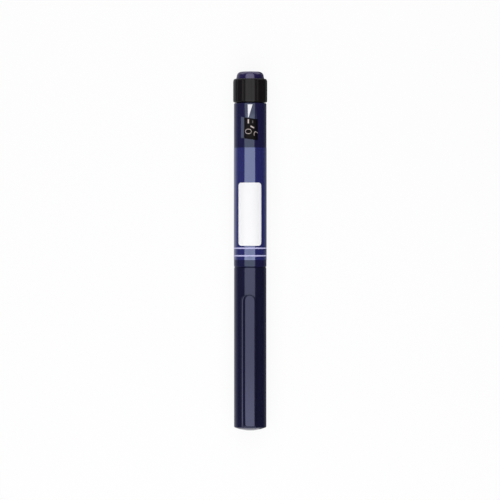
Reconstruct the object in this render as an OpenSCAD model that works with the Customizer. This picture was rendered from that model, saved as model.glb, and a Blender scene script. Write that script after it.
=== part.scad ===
// A pre-filled insulin pen, lying on its back with the dose window and the clip up.
// Each piece is drawn round the pen's own axis, standing on the cap's closed end, with the window
// towards +X there, and laid() then lays it down along the frame's X axis.

/* [Cartridge] */
// Outer radius of the glass barrel
cart_r = 5.8; // [5.7:0.02:5.9]
// Wall of the glass barrel
cart_wall = 0.97; // [0.9:0.01:1.05]
// Length of the whole cartridge with its crimped cap
cart_len = 64; // [63:0.1:64.5]
// Radius of the flange that the crimped cap holds
neck_flange_r = 3.55; // [3.4:0.01:3.6]
// Radius of the neck behind the flange
neck_r = 3; // [2.8:0.01:3.05]
// Radius of the bore in the neck
neck_bore_r = 1.75; // [1.6:0.01:1.9]
// Height of the neck flange
neck_flange_h = 2.5; // [2.2:0.05:2.8]
// Length of the neck behind the flange
neck_len = 1.9; // [1.6:0.05:2.1]
// Length of the sloped shoulder outside
shoulder_len = 4.2; // [3.8:0.05:4.6]
// Thickness of the rubber disc
seal_t = 2; // [1.8:0.05:2.2]
// Thickness of the crimped aluminium
crimp_t = 0.25; // [0.2:0.01:0.28]
// Radius of the hole that leaves the rubber open
crimp_hole_r = 1.5; // [1.3:0.01:1.7]
// Length of the rubber plunger
plunger_len = 8.5; // [8:0.1:8.8]
// Distance that the filled cartridge's plunger stands inside its rear end
plunger_inset = 3.5; // [3.45:0.05:3.8]
// Number of sealing ribs on the plunger
plunger_ribs = 3; // [2:1:4]

/* [Cartridge holder] */
// Wall of the holder's tube
holder_wall = 0.6; // [0.55:0.01:0.65]
// Outer radius of the needle thread
thread_r = 4.7; // [4.65:0.01:4.75]
// Length of the threaded tip
thread_len = 7; // [6.5:0.1:7.5]
// Thickness of the lip that the cartridge rests against
holder_lip = 0.5; // [0.4:0.05:0.7]
// Radius of the opening that the needle passes through
holder_mouth_r = 3; // [2.8:0.05:3.2]
// Length of the holder's end inside the housing
holder_insert = 8; // [7:0.1:9]

/* [Cap] */
// Wall of the cap's tube
cap_wall = 0.7; // [0.65:0.01:0.72]
// Thickness of the closed end in its middle
cap_end_wall = 1.2; // [1:0.05:1.4]
// Free space between the closed end and the holder's tip
cap_tip_space = 3.3; // [3:0.1:3.5]
// Height of the domed end
dome_h = 1.7; // [1.3:0.05:2]
// Radius of the edge round the dome
dome_edge_r = 0.7; // [0.5:0.05:0.8]
// Turn of the cap on the pen, seen from the dose end
cap_turn = -5.5; // [-8:0.5:8]

/* [Clip] */
// Distance from the closed end to the clip's free tip
clip_reach = 61; // [58:0.1:63]
// Width of the clip
clip_w = 6.5; // [6:0.05:7]
// Thickness of the clip at its middle
clip_t = 1.3; // [1.1:0.05:1.5]
// Radius of the clip's crowned face
clip_crown_r = 8; // [7:0.1:9]
// Gap between the clip and the cap
clip_gap = 0.9; // [0.8:0.05:1.2]
// Length of the clip's bent root
clip_root_len = 9; // [8:0.1:11]
// Height of the pad under the clip's tip
clip_pad_h = 0.6; // [0.4:0.05:0.7]
// Length of the pad under the clip's tip
clip_pad_len = 4; // [3:0.1:5]

/* [Housing] */
// Length of the housing outside
housing_len = 74; // [73.5:0.1:75]
// Wall at the housing's front, round the holder
housing_wall = 0.82; // [0.8:0.01:0.9]
// Wall at the housing's rear, round the drum
rear_wall = 0.95; // [0.9:0.01:1]
// Radius of the housing's rear edge
rear_edge_r = 0.5; // [0.3:0.05:0.6]
// Bevel at the seam between cap and housing
seam_bevel = 0.35; // [0.25:0.01:0.45]
// Thickness of the label
label_t = 0.07; // [0.05:0.01:0.1]
// Bare length of the housing ahead of the label
label_start = 3.2; // [2.5:0.1:4]
// Length of the label
label_len = 50.6; // [49:0.1:52]

/* [Dose window] */
// Distance from the housing's rear end to the window's left top corner
window_top = 6.4; // [6.2:0.05:6.6]
// Height of the window
window_h = 9.5; // [9:0.05:10]
// Distance of the window's left edge from the middle
window_left = 4.6; // [4.4:0.05:4.7]
// Distance of the window's right edge from the middle
window_right = 3.35; // [3.2:0.05:3.5]
// Drop of the window's slanted edges from left to right
window_drop = 1.1; // [0.9:0.05:1.2]
// Width of the gently sloped side wall on the window's left
window_bevel = 1.7; // [1.5:0.05:1.8]
// Width of the ramp that holds the pointer
ramp_w = 5.4; // [5:0.05:5.6]
// Depth of the ramp at the window
ramp_depth = 0.5; // [0.4:0.01:0.55]
// Distance from the housing's rear end to the ramp's start
ramp_start = 0.9; // [0.85:0.05:1.2]

/* [Dose scale] */
// Units in one turn of the knob, a tooth and a mark for each
units_per_turn = 20; // [18:1:24]
// Largest dose
max_dose = 60; // [60:1:60]
// Distance that the knob moves out in one turn
drum_lead = 8.5; // [8.4:0.05:8.6]
// Wall of the drum
drum_wall = 1.05; // [1:0.01:1.1]
// Width of the helical rib in the housing
rib_w = 1.2; // [1:0.05:1.3]
// Angle that the helical rib goes round
rib_angle = 200; // [150:5:220]
// Depth of the drum's helical groove
groove_depth = 0.53; // [0.5:0.01:0.56]

/* [Knob and button] */
// Height of the knob
knob_h = 10.6; // [10.4:0.1:11]
// Distance that the knob stands proud of the housing
knob_proud = 0.35; // [0.3:0.01:0.45]
// Number of flutes round the knob
flutes = 24; // [16:1:28]
// Depth of a flute
flute_depth = 0.08; // [0.05:0.01:0.15]
// Depth of the knob's socket for the drum
socket_depth = 5.3; // [5.2:0.05:5.4]
// Thickness of the knob's web
web_t = 1.2; // [1:0.05:1.3]
// Height of the button above the knob
button_h = 3.3; // [3:0.05:3.5]
// Travel of the button
button_travel = 1.5; // [1.3:0.05:1.6]
// Radius of the rounding round the button's top
button_round = 2.2; // [2:0.05:2.3]
// Wall of the button
button_wall = 1.1; // [0.9:0.05:1.2]
// Radius of the button's stem
stem_r = 2.8; // [2.6:0.01:2.85]
// Length of the stem inside the bushing
stem_reach = 6; // [5:0.1:7]

/* [Drive] */
// Radius of the piston rod over its thread
rod_r = 2.1; // [2:0.01:2.15]
// Distance of the rod's two flats from its axis
rod_flat = 1.5; // [1.4:0.01:1.6]
// Length of the piston rod
rod_len = 67; // [66.5:0.1:67.5]
// Wall of the driver's tube
driver_wall = 0.75; // [0.7:0.01:0.8]
// Distance that the driver ends ahead of the pressed button's stem
driver_head_gap = 9.7; // [8:0.1:11]
// Height of the keys on driver
key_h = 0.35; // [0.3:0.01:0.38]
// Width of the keys on driver
key_w = 1.2; // [1:0.05:1.4]
// Wall of the bushing
bushing_wall = 0.8; // [0.75:0.01:0.82]
// Thickness of the bushing's toothed flange
flange_t = 1.4; // [1.2:0.05:1.6]
// Length of the sleeve that holds the cartridge back
sleeve_len = 12.6; // [12:0.1:13]
// Wall of the sleeve that holds the cartridge back
sleeve_wall = 0.85; // [0.7:0.05:1]
// Length of thread in the nut
nut_thread_len = 4.5; // [4:0.1:5]
// Thickness of the nut's flange
nut_flange_t = 2.5; // [2.2:0.05:2.8]
// Length of the ratchet ring
ratchet_len = 4.5; // [4.3:0.05:4.8]
// Depth of the ratchet teeth
ratchet_tooth = 0.5; // [0.4:0.01:0.55]
// Radius of the ratchet ring inside its teeth
ratchet_tip_r = 5.25; // [5.2:0.01:5.3]
// Thickness of a pawl arm
pawl_t = 0.55; // [0.45:0.01:0.6]
// Angle that a pawl arm goes round
pawl_angle = 100; // [80:5:110]
// Length of the limit nut
limit_nut_len = 5; // [4:0.1:5.5]

/* [Clutch spring] */
// Diameter of the spring's wire
wire_d = 0.4; // [0.3:0.01:0.42]
// Number of curls
curls = 4; // [3:1:4]
// Length of the spring at rest
spring_len = 4; // [4:0.05:4.3]
// Height of a click tooth
click_tooth_h = 0.4; // [0.3:0.01:0.42]

/* [Hidden] */
$fn = 96;

// Clearances
fit_gap = 0.03;
slip_gap = 0.1;
running_gap = 0.08;
drum_gap = 0.15;
tooth_gap = 0.1;
end_gap = 0.2;
overrun = 1;

// Radii, from the cartridge outwards
cart_bore_r = cart_r - cart_wall;
plunger_r = cart_bore_r - running_gap;
crimp_r = neck_flange_r + slip_gap / 2 + crimp_t;
holder_bore_r = cart_r + slip_gap;
holder_r = holder_bore_r + holder_wall;
cap_bore_r = holder_r + slip_gap;
cap_r = cap_bore_r + cap_wall;
front_bore_r = holder_r + fit_gap;
housing_r = front_bore_r + housing_wall;
rear_bore_r = housing_r - rear_wall;
drum_r = rear_bore_r - drum_gap;
drum_bore_r = drum_r - drum_wall;
knob_r = housing_r + knob_proud;

// Radii, from the rod outwards
driver_bore_r = rod_r + slip_gap;
driver_r = driver_bore_r + driver_wall;
bushing_bore_r = driver_r + slip_gap;
bushing_r = bushing_bore_r + bushing_wall;
spline_h = drum_wall * 0.38;
spline_w = key_w;
spline_tip_r = drum_bore_r - spline_h;
slider_r = drum_bore_r - drum_gap;
flange_r = spline_tip_r - drum_gap;

// Places along the pen, from the cap's closed end
tip_z = cap_end_wall + cap_tip_space;
crimp_z = tip_z + holder_lip;
seal_z = crimp_z + crimp_t;
neck_z = seal_z + seal_t;
neck_back_z = neck_z + neck_flange_h;
shoulder_z = neck_back_z + neck_len;
barrel_z = shoulder_z + shoulder_len;
cart_end_z = crimp_z + cart_len;
plunger_back_z = cart_end_z - plunger_inset;
plunger_z = plunger_back_z - plunger_len;
thread_end_z = tip_z + thread_len;
holder_cone_share = 0.8;
holder_bore_z = shoulder_z + shoulder_len * holder_cone_share;
holder_body_z = holder_bore_z - holder_wall / 2;
sleeve_z = cart_end_z + end_gap;
holder_end_z = sleeve_z + sleeve_len;
joint_z = holder_end_z - holder_insert;
cap_len = joint_z;
nut_end_z = holder_end_z + nut_flange_t;
ratchet_end_z = nut_end_z + ratchet_len;
housing_end_z = joint_z + housing_len;
knob_gap = 0.3;
knob_z = housing_end_z + knob_gap;
web_z = knob_z + socket_depth;
web_top_z = web_z + web_t;
knob_top_z = knob_z + knob_h;
pen_len = knob_top_z + button_h;

// The clutch stack, down from the knob's web
flange_top_z = web_z - end_gap;
flange_z = flange_top_z - flange_t;
click_top_z = flange_z - 2 * click_tooth_h - tooth_gap;
click_ring_t = 1.2;
click_z = click_top_z - click_ring_t;
ledge_top_z = click_z - spring_len;
ledge_t = 1.5;
spring_r = spline_tip_r - drum_gap - wire_d / 2;

// The driver starts behind the nut, and the bushing and drum behind the ratchet ring
driver_z = nut_end_z + end_gap;
driver_end_z = flange_top_z - stem_reach - button_travel - driver_head_gap;
driver_len = driver_end_z - driver_z;
dial_travel = drum_lead * max_dose / units_per_turn;
drum_start_gap = 6.7;
drum_z = ratchet_end_z + drum_start_gap;
bushing_start_gap = 2.5;
bushing_z = drum_z + bushing_start_gap;
limit_nut_z = bushing_z + bushing_start_gap;

// The piston rod's foot
foot_t = 1.5;
foot_hub_h = 2;
foot_hub_r = 2.6;
foot_r = cart_bore_r - 3 * slip_gap;
pivot_r = 1.4;
pivot_len = 3;
foot_top_z = plunger_back_z + foot_t + foot_hub_h;
rod_z = plunger_back_z + slip_gap * 3;
rod_shank_z = foot_top_z + end_gap;

// Steps of the helical forms
turn_steps = 32;
spring_steps = 8;
spring_sides = 6;
dome_steps = 12;
edge_steps = 6;

// Lays a piece down along X, with the window up
module laid() {
    translate([-pen_len / 2, 0, knob_r])
        rotate([0, 90, 0])
            rotate([0, 0, 180])
                children();
}

// A tube from one height to another
module tube(r_out, r_in, z0, z1) {
    difference() {
        translate([0, 0, z0]) cylinder(r = r_out, h = z1 - z0);
        bore(r_in, z0, z1);
    }
}

// A hole that goes past both heights
module bore(r, z0, z1) {
    translate([0, 0, z0 - overrun]) cylinder(r = r, h = z1 - z0 + 2 * overrun);
}

// A hole that starts exactly at z0 and ends exactly at z1
module pocket(r, z0, z1) {
    translate([0, 0, z0]) cylinder(r = r, h = z1 - z0);
}

// A box round the axis, of width w across it and from r0 outwards to r1
module radial_bar(w, r0, r1, z0, z1) {
    translate([r0, -w / 2, z0]) cube([r1 - r0, w, z1 - z0]);
}

// Two opposite copies
module both_sides() {
    for (side = [0, 180]) rotate([0, 0, side]) children();
}

// Points of an arc in a profile
function arc(centre, r, from, to, steps) =
    [for (i = [0:steps]) centre + r * [cos(from + (to - from) * i / steps), sin(from + (to - from) * i / steps)]];

// Faces of a tube of rings, with its two ends closed
function sweep_faces(rings, sides) = concat(
    [for (k = [0:rings - 2]) for (j = [0:sides - 1])
        [k * sides + j, (k + 1) * sides + (j + 1) % sides, k * sides + (j + 1) % sides]],
    [for (k = [0:rings - 2]) for (j = [0:sides - 1])
        [k * sides + j, (k + 1) * sides + j, (k + 1) * sides + (j + 1) % sides]],
    [[for (j = [0:sides - 1]) j]],
    [[for (j = [sides - 1:-1:0]) (rings - 1) * sides + j]]
);

// One ring of a left-hand helix: section points are [radius, height] round its middle line
function helix_ring(section, a, z) =
    [for (p = section) [p[0] * cos(-a), p[0] * sin(-a), z + p[1]]];

// A left-hand helical bar of the given section
module helix_bar(section, from, to, z_at_zero, lead, steps) {
    count = ceil((to - from) / 360 * steps);
    rings = [for (i = [0:count]) let (a = from + (to - from) * i / count)
        helix_ring(section, a, z_at_zero + lead * a / 360)];
    polyhedron(points = [for (ring = rings) each ring],
        faces = sweep_faces(count + 1, len(section)));
}

// The line of the drum's groove and the housing's rib, which crosses the front at this height
rib_from = -30;
rib_root_embed = 0.15;
row_middle = 10.9;
groove_z = housing_end_z - row_middle - 1.5 * drum_lead;
groove_overrun = 20;

module cap() {
    color("midnightblue") laid() rotate([0, 0, cap_turn]) {
        difference() {
            rotate_extrude() cap_outline();
            translate([0, 0, cap_end_wall + dome_edge_r])
                cylinder(r = cap_bore_r, h = cap_len);
            translate([0, 0, cap_end_wall])
                cylinder(r1 = cap_bore_r - dome_edge_r, r2 = cap_bore_r, h = dome_edge_r);
            translate([0, 0, snap_z - snap_w])
                cylinder(r = cap_bore_r + snap_h + slip_gap, h = 2 * snap_w);
        }
        clip();
    }
}

// The cap's outline, with the shallow dome and its rounded edge
snap_h = 0.05;
snap_w = 0.8;
snap_z = joint_z - 4;
dome_base_r = cap_r - dome_edge_r;
dome_rise = dome_h - dome_edge_r * 0.6;
dome_ball_r = (dome_base_r * dome_base_r + dome_rise * dome_rise) / (2 * dome_rise);
dome_half = asin(dome_base_r / dome_ball_r);
module cap_outline() {
    polygon(concat(
        [[0, 0]],
        arc([0, dome_ball_r], dome_ball_r, -90 + dome_half / dome_steps, -90 + dome_half, dome_steps - 1),
        arc([cap_r - dome_edge_r, dome_rise + dome_edge_r], dome_edge_r, -90 + dome_half + 8, 0, edge_steps),
        [[cap_r, cap_len - seam_bevel], [cap_r - seam_bevel, cap_len], [0, cap_len]]
    ));
}

// The clip: a tongue that leaves the closed end in a bend and lies over the cap
clip_in_r = cap_r + clip_gap;
clip_out_r = clip_in_r + clip_t;
clip_lead_len = 2.5;
clip_lead_rise = 0.5;
clip_foot_z = 1.1;
module clip() {
    intersection() {
        translate([0, clip_w / 2, 0]) rotate([90, 0, 0]) linear_extrude(clip_w) clip_side();
        rotate([90, 0, 90]) linear_extrude(clip_out_r + overrun) clip_front();
        translate([clip_out_r - clip_crown_r, 0, 0]) cylinder(r = clip_crown_r, h = cap_len);
    }
}

// The clip seen from the side, as [distance from the axis, height]
module clip_side() {
    root_r = clip_root_len;
    polygon(concat(
        [[cap_r - cap_wall / 2, clip_foot_z + dome_edge_r]],
        bend([cap_r - dome_edge_r, clip_foot_z], [clip_out_r, root_r], dome_steps),
        [[clip_out_r, clip_reach], [clip_in_r + clip_lead_rise, clip_reach],
            [clip_in_r, clip_reach - clip_lead_len],
            [clip_in_r - clip_pad_h, clip_reach - clip_lead_len - clip_pad_h],
            [clip_in_r - clip_pad_h, clip_reach - clip_lead_len - clip_pad_len],
            [clip_in_r, clip_reach - clip_lead_len - clip_pad_len - clip_pad_h]],
        [[clip_in_r, root_r + clip_t], [clip_in_r - clip_gap / 2, root_r],
            [cap_r - cap_wall / 2, root_r - clip_gap]]
    ));
}

// A quarter of an ellipse from a point on the foot to a point on the straight part
function bend(p, q, steps) =
    [for (i = [0:steps]) let (a = 90 * i / steps) [p[0] + (q[0] - p[0]) * sin(a), q[1] - (q[1] - p[1]) * cos(a)]];

// The clip seen from the front, as [distance to the side, height], with its rounded tip
module clip_front() {
    tip_r = clip_w * 0.42;
    polygon(concat(
        [[-clip_w / 2, 0], [clip_w / 2, 0]],
        arc([clip_w / 2 - tip_r, clip_reach - tip_r], tip_r, 0, 90, dome_steps),
        arc([tip_r - clip_w / 2, clip_reach - tip_r], tip_r, 90, 180, dome_steps)
    ));
}

module housing() {
    color("midnightblue") laid() {
        difference() {
            union() {
                difference() {
                    rotate_extrude() housing_outline();
                    bore(front_bore_r, joint_z, ratchet_end_z - overrun);
                    bore(rear_bore_r, joint_z, housing_end_z);
                    translate([0, 0, holder_ring_z - holder_ring_w])
                        cylinder(r = front_bore_r + holder_ring_h + slip_gap / 2, h = 2 * holder_ring_w);
                }
                helix_bar(rib_section, rib_from, rib_from + rib_angle, groove_z, drum_lead, turn_steps);
            }
            window_cut();
            ramp_cut();
        }
    }
}
rib_tip_r = drum_r - groove_depth + drum_gap;
rib_section = [
    [rib_tip_r, -rib_w / 2],
    [rear_bore_r + rib_root_embed, -rib_w / 2],
    [rear_bore_r + rib_root_embed, rib_w / 2],
    [rib_tip_r, rib_w / 2]
];

// The housing's outline with the seam's bevel and the rounded rear edge
module housing_outline() {
    polygon(concat(
        [[0, joint_z], [housing_r - seam_bevel, joint_z], [housing_r, joint_z + seam_bevel]],
        arc([housing_r - rear_edge_r, housing_end_z - rear_edge_r], rear_edge_r, 0, 90, edge_steps),
        [[0, housing_end_z]]
    ));
}

// The dose window: slanted above and below, and wider outside on its left
window_top_z = housing_end_z - window_top;
window_wall_foot = rear_bore_r * cos(asin((window_left - window_bevel) / rear_bore_r)) - slip_gap;
module window_cut() {
    intersection() {
        rotate([90, 0, 90]) linear_extrude(housing_r + overrun)
            polygon([
                [-window_left, window_top_z - window_h],
                [window_right, window_top_z - window_drop - window_h],
                [window_right, window_top_z - window_drop],
                [-window_left, window_top_z]
            ]);
        translate([0, 0, window_top_z - window_h - window_drop - overrun])
            linear_extrude(window_h + window_drop + 2 * overrun)
                polygon([
                    [0, window_bevel - window_left],
                    [window_wall_foot, window_bevel - window_left],
                    [housing_r * cos(asin(window_left / housing_r)), -window_left],
                    [housing_r + overrun, -window_left],
                    [housing_r + overrun, window_right],
                    [0, window_right]
                ]);
    }
}

// The ramp that leads from the rear end into the window
module ramp_cut() {
    ramp_z = housing_end_z - ramp_start;
    ramp_len = ramp_z - window_top_z + window_drop;
    intersection() {
        translate([0, -ramp_w / 2, window_top_z - window_drop]) cube([housing_r + overrun, ramp_w, ramp_len + overrun]);
        rotate_extrude()
            polygon([
                [housing_r - ramp_depth, ramp_z - ramp_len],
                [housing_r + overrun, ramp_z - ramp_len],
                [housing_r + overrun, ramp_z],
                [housing_r, ramp_z]
            ]);
    }
}

module label() {
    color("darkslateblue") laid()
        tube(housing_r + label_t, housing_r, joint_z + label_start, joint_z + label_start + label_len);
}

// The ring that snaps the holder into the housing
holder_ring_h = 0.1;
holder_ring_w = 0.6;
holder_ring_z = holder_end_z - 2.5;
module cartridge_holder() {
    color([0.86, 0.9, 0.93, 0.4]) laid() difference() {
        rotate_extrude()
            polygon([
                [0, tip_z],
                [thread_r - holder_lip, tip_z],
                [thread_r, tip_z + holder_lip],
                [thread_r, thread_end_z],
                [holder_r, holder_body_z],
                [holder_r, snap_z - snap_w],
                [holder_r + snap_h, snap_z],
                [holder_r, snap_z + snap_w],
                [holder_r, holder_ring_z - holder_ring_w],
                [holder_r + holder_ring_h, holder_ring_z],
                [holder_r, holder_ring_z + holder_ring_w],
                [holder_r, holder_end_z],
                [0, holder_end_z]
            ]);
        bore(holder_mouth_r, tip_z, crimp_z);
        rotate_extrude()
            polygon([
                [0, crimp_z],
                [crimp_r + slip_gap, crimp_z],
                [crimp_r + slip_gap, thread_end_z + holder_wall],
                [holder_bore_r, holder_bore_z],
                [holder_bore_r, holder_end_z + overrun],
                [0, holder_end_z + overrun]
            ]);
    }
}

module cartridge_glass() {
    color([0.8, 0.9, 0.9, 0.4]) laid() difference() {
        rotate_extrude()
            polygon(concat(
                [[0, neck_z], [neck_flange_r, neck_z], [neck_flange_r, neck_back_z], [neck_r, neck_back_z],
                    [neck_r, shoulder_z]],
                shoulder_points(neck_r, cart_r, shoulder_z, barrel_z),
                [[cart_r, cart_end_z], [0, cart_end_z]]
            ));
        bore(neck_bore_r, neck_z, barrel_z);
        rotate_extrude()
            polygon(concat(
                [[0, shoulder_z]],
                shoulder_points(neck_bore_r, cart_bore_r, shoulder_z + cart_wall / 2, barrel_z + cart_wall / 2),
                [[cart_bore_r, cart_end_z + overrun], [0, cart_end_z + overrun]]
            ));
    }
}

// The glass shoulder: an S from the neck to the barrel
function shoulder_points(r0, r1, z0, z1) =
    [for (i = [1:edge_steps]) let (share = i / edge_steps)
        [r0 + (r1 - r0) * (1 - cos(180 * share)) / 2, z0 + (z1 - z0) * share]];

module cartridge_seal() {
    color("dimgray") laid() {
        translate([0, 0, seal_z]) cylinder(r = neck_flange_r, h = seal_t);
        translate([0, 0, neck_z]) cylinder(r = neck_bore_r - slip_gap, h = seal_plug_h);
    }
}
seal_plug_h = 0.6;

module crimp_cap() {
    color("silver") laid() {
        difference() {
            translate([0, 0, crimp_z]) cylinder(r = crimp_r, h = neck_back_z + slip_gap + crimp_t - crimp_z);
            bore(crimp_hole_r, crimp_z, seal_z);
            pocket(crimp_r - crimp_t, seal_z, neck_back_z + slip_gap);
            bore(neck_r + slip_gap, neck_back_z, neck_back_z + crimp_t);
        }
    }
}

// The rubber plunger, ribbed round its side
plunger_bevel = 0.8;
plunger_groove = 0.35;
module plunger() {
    rib_pitch = (plunger_len - plunger_bevel) / plunger_ribs;
    color("dimgray") laid() difference() {
        union() {
            translate([0, 0, plunger_z])
                cylinder(r1 = plunger_r - plunger_bevel, r2 = plunger_r, h = plunger_bevel);
            translate([0, 0, plunger_z + plunger_bevel])
                cylinder(r = plunger_r, h = plunger_len - plunger_bevel);
        }
        for (i = [0:plunger_ribs - 2])
            translate([0, 0, plunger_z + plunger_bevel + rib_pitch * (i + 1)])
                rotate_extrude() translate([plunger_r, 0]) circle(r = plunger_groove);
    }
}

// The disc that turns the rod's push into pressure on the plunger
module rod_foot() {
    color("whitesmoke") laid() difference() {
        union() {
            translate([0, 0, plunger_back_z]) cylinder(r = foot_r, h = foot_t);
            translate([0, 0, plunger_back_z]) cylinder(r = foot_hub_r, h = foot_t + foot_hub_h);
        }
        translate([0, 0, rod_z - slip_gap]) cylinder(r = pivot_r + slip_gap, h = foot_t + foot_hub_h + overrun);
    }
}

module piston_rod() {
    color("whitesmoke") laid() {
        translate([0, 0, rod_z]) cylinder(r = pivot_r, h = rod_shank_z - rod_z);
        intersection() {
            translate([0, 0, rod_shank_z]) cylinder(r = rod_r, h = rod_end_z - rod_shank_z);
            translate([-rod_r, -rod_flat, rod_shank_z]) cube([2 * rod_r, 2 * rod_flat, rod_len]);
        }
    }
}
rod_end_z = rod_z + rod_len;

// The fixed nut, with the slotted sleeve that holds the cartridge back
sleeve_slots = 4;
sleeve_slot_w = 2;
sleeve_band = 1.2;
module rod_nut() {
    sleeve_r = holder_bore_r - slip_gap;
    web_start_z = nut_end_z - nut_thread_len;
    color("lightsteelblue") laid() difference() {
        union() {
            translate([0, 0, sleeve_z]) cylinder(r = sleeve_r, h = nut_end_z - sleeve_z);
            translate([0, 0, holder_end_z]) cylinder(r = front_bore_r - fit_gap, h = nut_flange_t);
        }
        bore(rod_r + slip_gap, sleeve_z, nut_end_z);
        translate([0, 0, sleeve_z - overrun])
            cylinder(r = sleeve_r - sleeve_wall, h = web_start_z - sleeve_z + overrun);
        for (i = [0:sleeve_slots - 1])
            rotate([0, 0, (i + 0.5) * 360 / sleeve_slots])
                radial_bar(sleeve_slot_w, 0, sleeve_r + overrun, sleeve_z + sleeve_band, web_start_z - sleeve_band);
    }
}

// The fixed ring, with one saw tooth for each unit of a turn
ratchet_end_wall = 0.6;
ratchet_root_r = ratchet_tip_r + ratchet_tooth;
module ratchet_ring() {
    color("slategray") laid() difference() {
        translate([0, 0, nut_end_z]) cylinder(r = front_bore_r - fit_gap, h = ratchet_len);
        translate([0, 0, nut_end_z - overrun])
            linear_extrude(ratchet_len - ratchet_end_wall + overrun)
                polygon([for (i = [0:units_per_turn - 1]) each [
                    ratchet_root_r * [cos(360 * i / units_per_turn), sin(360 * i / units_per_turn)],
                    ratchet_tip_r * [cos(360 * (i + 0.93) / units_per_turn), sin(360 * (i + 0.93) / units_per_turn)]
                ]]);
        bore(driver_r + key_h + 3 * slip_gap, nut_end_z, ratchet_end_z);
    }
}

// The driver: a keyed tube with two springy pawl arms
pawl_h = 2.2;
driver_disc_r = 3.9;
pawl_tip_r = ratchet_tip_r * cos(180 / units_per_turn) - tooth_gap;
pawl_out_r = pawl_tip_r - 0.3;
pawl_root_angle = 10;
pawl_root_w = 1.2;
module driver() {
    key_start_z = ratchet_end_z + end_gap;
    color("steelblue") laid() difference() {
        union() {
            translate([0, 0, driver_z]) cylinder(r = driver_r, h = driver_len);
            translate([0, 0, driver_z]) cylinder(r = driver_disc_r, h = pawl_h);
            both_sides() {
                pawl_sector(pawl_out_r - pawl_t, pawl_out_r, 0, pawl_angle);
                rotate([0, 0, pawl_root_angle])
                    radial_bar(pawl_root_w, driver_r, pawl_out_r - pawl_t / 2, driver_z, driver_z + pawl_h);
                rotate([0, 0, pawl_angle - pawl_root_angle / 2])
                    radial_bar(pawl_t, pawl_out_r - pawl_t / 2, pawl_tip_r, driver_z, driver_z + pawl_h);
                radial_bar(key_w, 0, driver_r + key_h, key_start_z, driver_end_z);
            }
        }
        intersection() {
            bore(driver_bore_r, driver_z, driver_end_z);
            translate([-rod_r - overrun, -rod_flat - slip_gap, driver_z - overrun])
                cube([2 * (rod_r + overrun), 2 * (rod_flat + slip_gap), driver_len + 2 * overrun]);
        }
    }
}

// A sector of a ring, as high as the pawls
module pawl_sector(r_in, r_out, from, to) {
    translate([0, 0, driver_z]) rotate([0, 0, from]) rotate_extrude(angle = to - from)
        translate([r_in, 0]) square([r_out - r_in, pawl_h]);
}

// The bushing: keyed on the driver, turning it, and pushed down by the button
module bushing() {
    color("lightgray") laid() {
        difference() {
            union() {
                translate([0, 0, bushing_z]) cylinder(r = bushing_r, h = flange_top_z - bushing_z);
                translate([0, 0, flange_z]) cylinder(r = flange_r, h = flange_t);
            }
            bore(bushing_bore_r, bushing_z, flange_top_z);
            both_sides()
                radial_bar(key_w + 2 * slip_gap, 0, driver_r + key_h + slip_gap, bushing_z - overrun,
                    flange_z - stem_reach);
        }
        click_teeth(flange_z, -1);
    }
}

// A crown of small teeth that stand up or down from a face, rooted a little way in it
module click_teeth(z, way) {
    base_half = PI * bushing_r / units_per_turn * 0.5;
    tip_half = base_half * 0.6;
    root = click_tooth_h / 2;
    inner_r = bushing_r + drum_gap;
    for (i = [0:units_per_turn - 1])
        rotate([0, 0, i * 360 / units_per_turn])
            translate([inner_r, 0, z]) rotate([90, 0, 90]) linear_extrude(flange_r - inner_r - slip_gap)
                polygon([
                    [-base_half, -way * root],
                    [base_half, -way * root],
                    [base_half, 0],
                    [tip_half, way * click_tooth_h],
                    [-tip_half, way * click_tooth_h],
                    [-base_half, 0]
                ]);
}

module click_ring() {
    color("gainsboro") laid() {
        splined_ring(click_z, click_top_z, bushing_r + drum_gap);
        click_teeth(click_top_z, 1);
    }
}

// A ring that slides on the drum's splines
module splined_ring(z0, z1, bore_r) {
    difference() {
        tube(slider_r, bore_r, z0, z1);
        both_sides()
            radial_bar(spline_w + 2 * slip_gap, spline_tip_r - slip_gap, slider_r + overrun, z0 - overrun,
                z1 + overrun);
    }
}

module limit_nut() {
    color("darkorange") laid()
        splined_ring(limit_nut_z, limit_nut_z + limit_nut_len, bushing_r + slip_gap);
}

// The drum: the helical groove outside, and inside two splines and the spring's ledge
module scale_drum() {
    spline_end_z = click_top_z + drum_gap;
    color([0.1, 0.1, 0.11]) laid() {
        difference() {
            tube(drum_r, drum_bore_r, drum_z, web_z);
            helix_bar(groove_section, rib_from - 360 * max_dose / units_per_turn - groove_overrun,
                rib_from + rib_angle + groove_overrun, groove_z, drum_lead, turn_steps);
        }
        tube(drum_bore_r + drum_gap, bushing_r + drum_gap, ledge_top_z - ledge_t, ledge_top_z);
        both_sides() intersection() {
            radial_bar(spline_w, spline_tip_r, drum_bore_r + drum_gap, drum_z + end_gap, spline_end_z);
            bore(drum_bore_r + drum_gap, drum_z, spline_end_z);
        }
    }
}
groove_w = rib_w + 2 * drum_gap;
groove_section = [
    [drum_r - groove_depth, -groove_w / 2],
    [drum_r + overrun, -groove_w / 2],
    [drum_r + overrun, groove_w / 2],
    [drum_r - groove_depth, groove_w / 2]
];

// The knob: fluted outside, with a socket for the drum and a recess for the button
recess_r = knob_r - 1.1;
flute_r = 2.4;
knob_bevel = 0.4;
knob_round = 1.3;
module dose_knob() {
    color([0.13, 0.13, 0.13]) laid() difference() {
        rotate_extrude()
            polygon(concat(
                [[0, knob_z], [knob_r - knob_bevel, knob_z], [knob_r, knob_z + knob_bevel]],
                knob_shoulder(),
                [[0, knob_top_z]]
            ));
        for (i = [0:flutes - 1])
            rotate([0, 0, (i + 0.5) * 360 / flutes])
                translate([knob_r + flute_r - flute_depth, 0, knob_z - overrun])
                    cylinder(r = flute_r, h = knob_h + 2 * overrun);
        bore(drum_r + fit_gap, knob_z, web_z - overrun);
        bore(bushing_r + drum_gap + slip_gap, web_z, web_top_z);
        pocket(recess_r, web_top_z, knob_top_z + overrun);
    }
}

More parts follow.
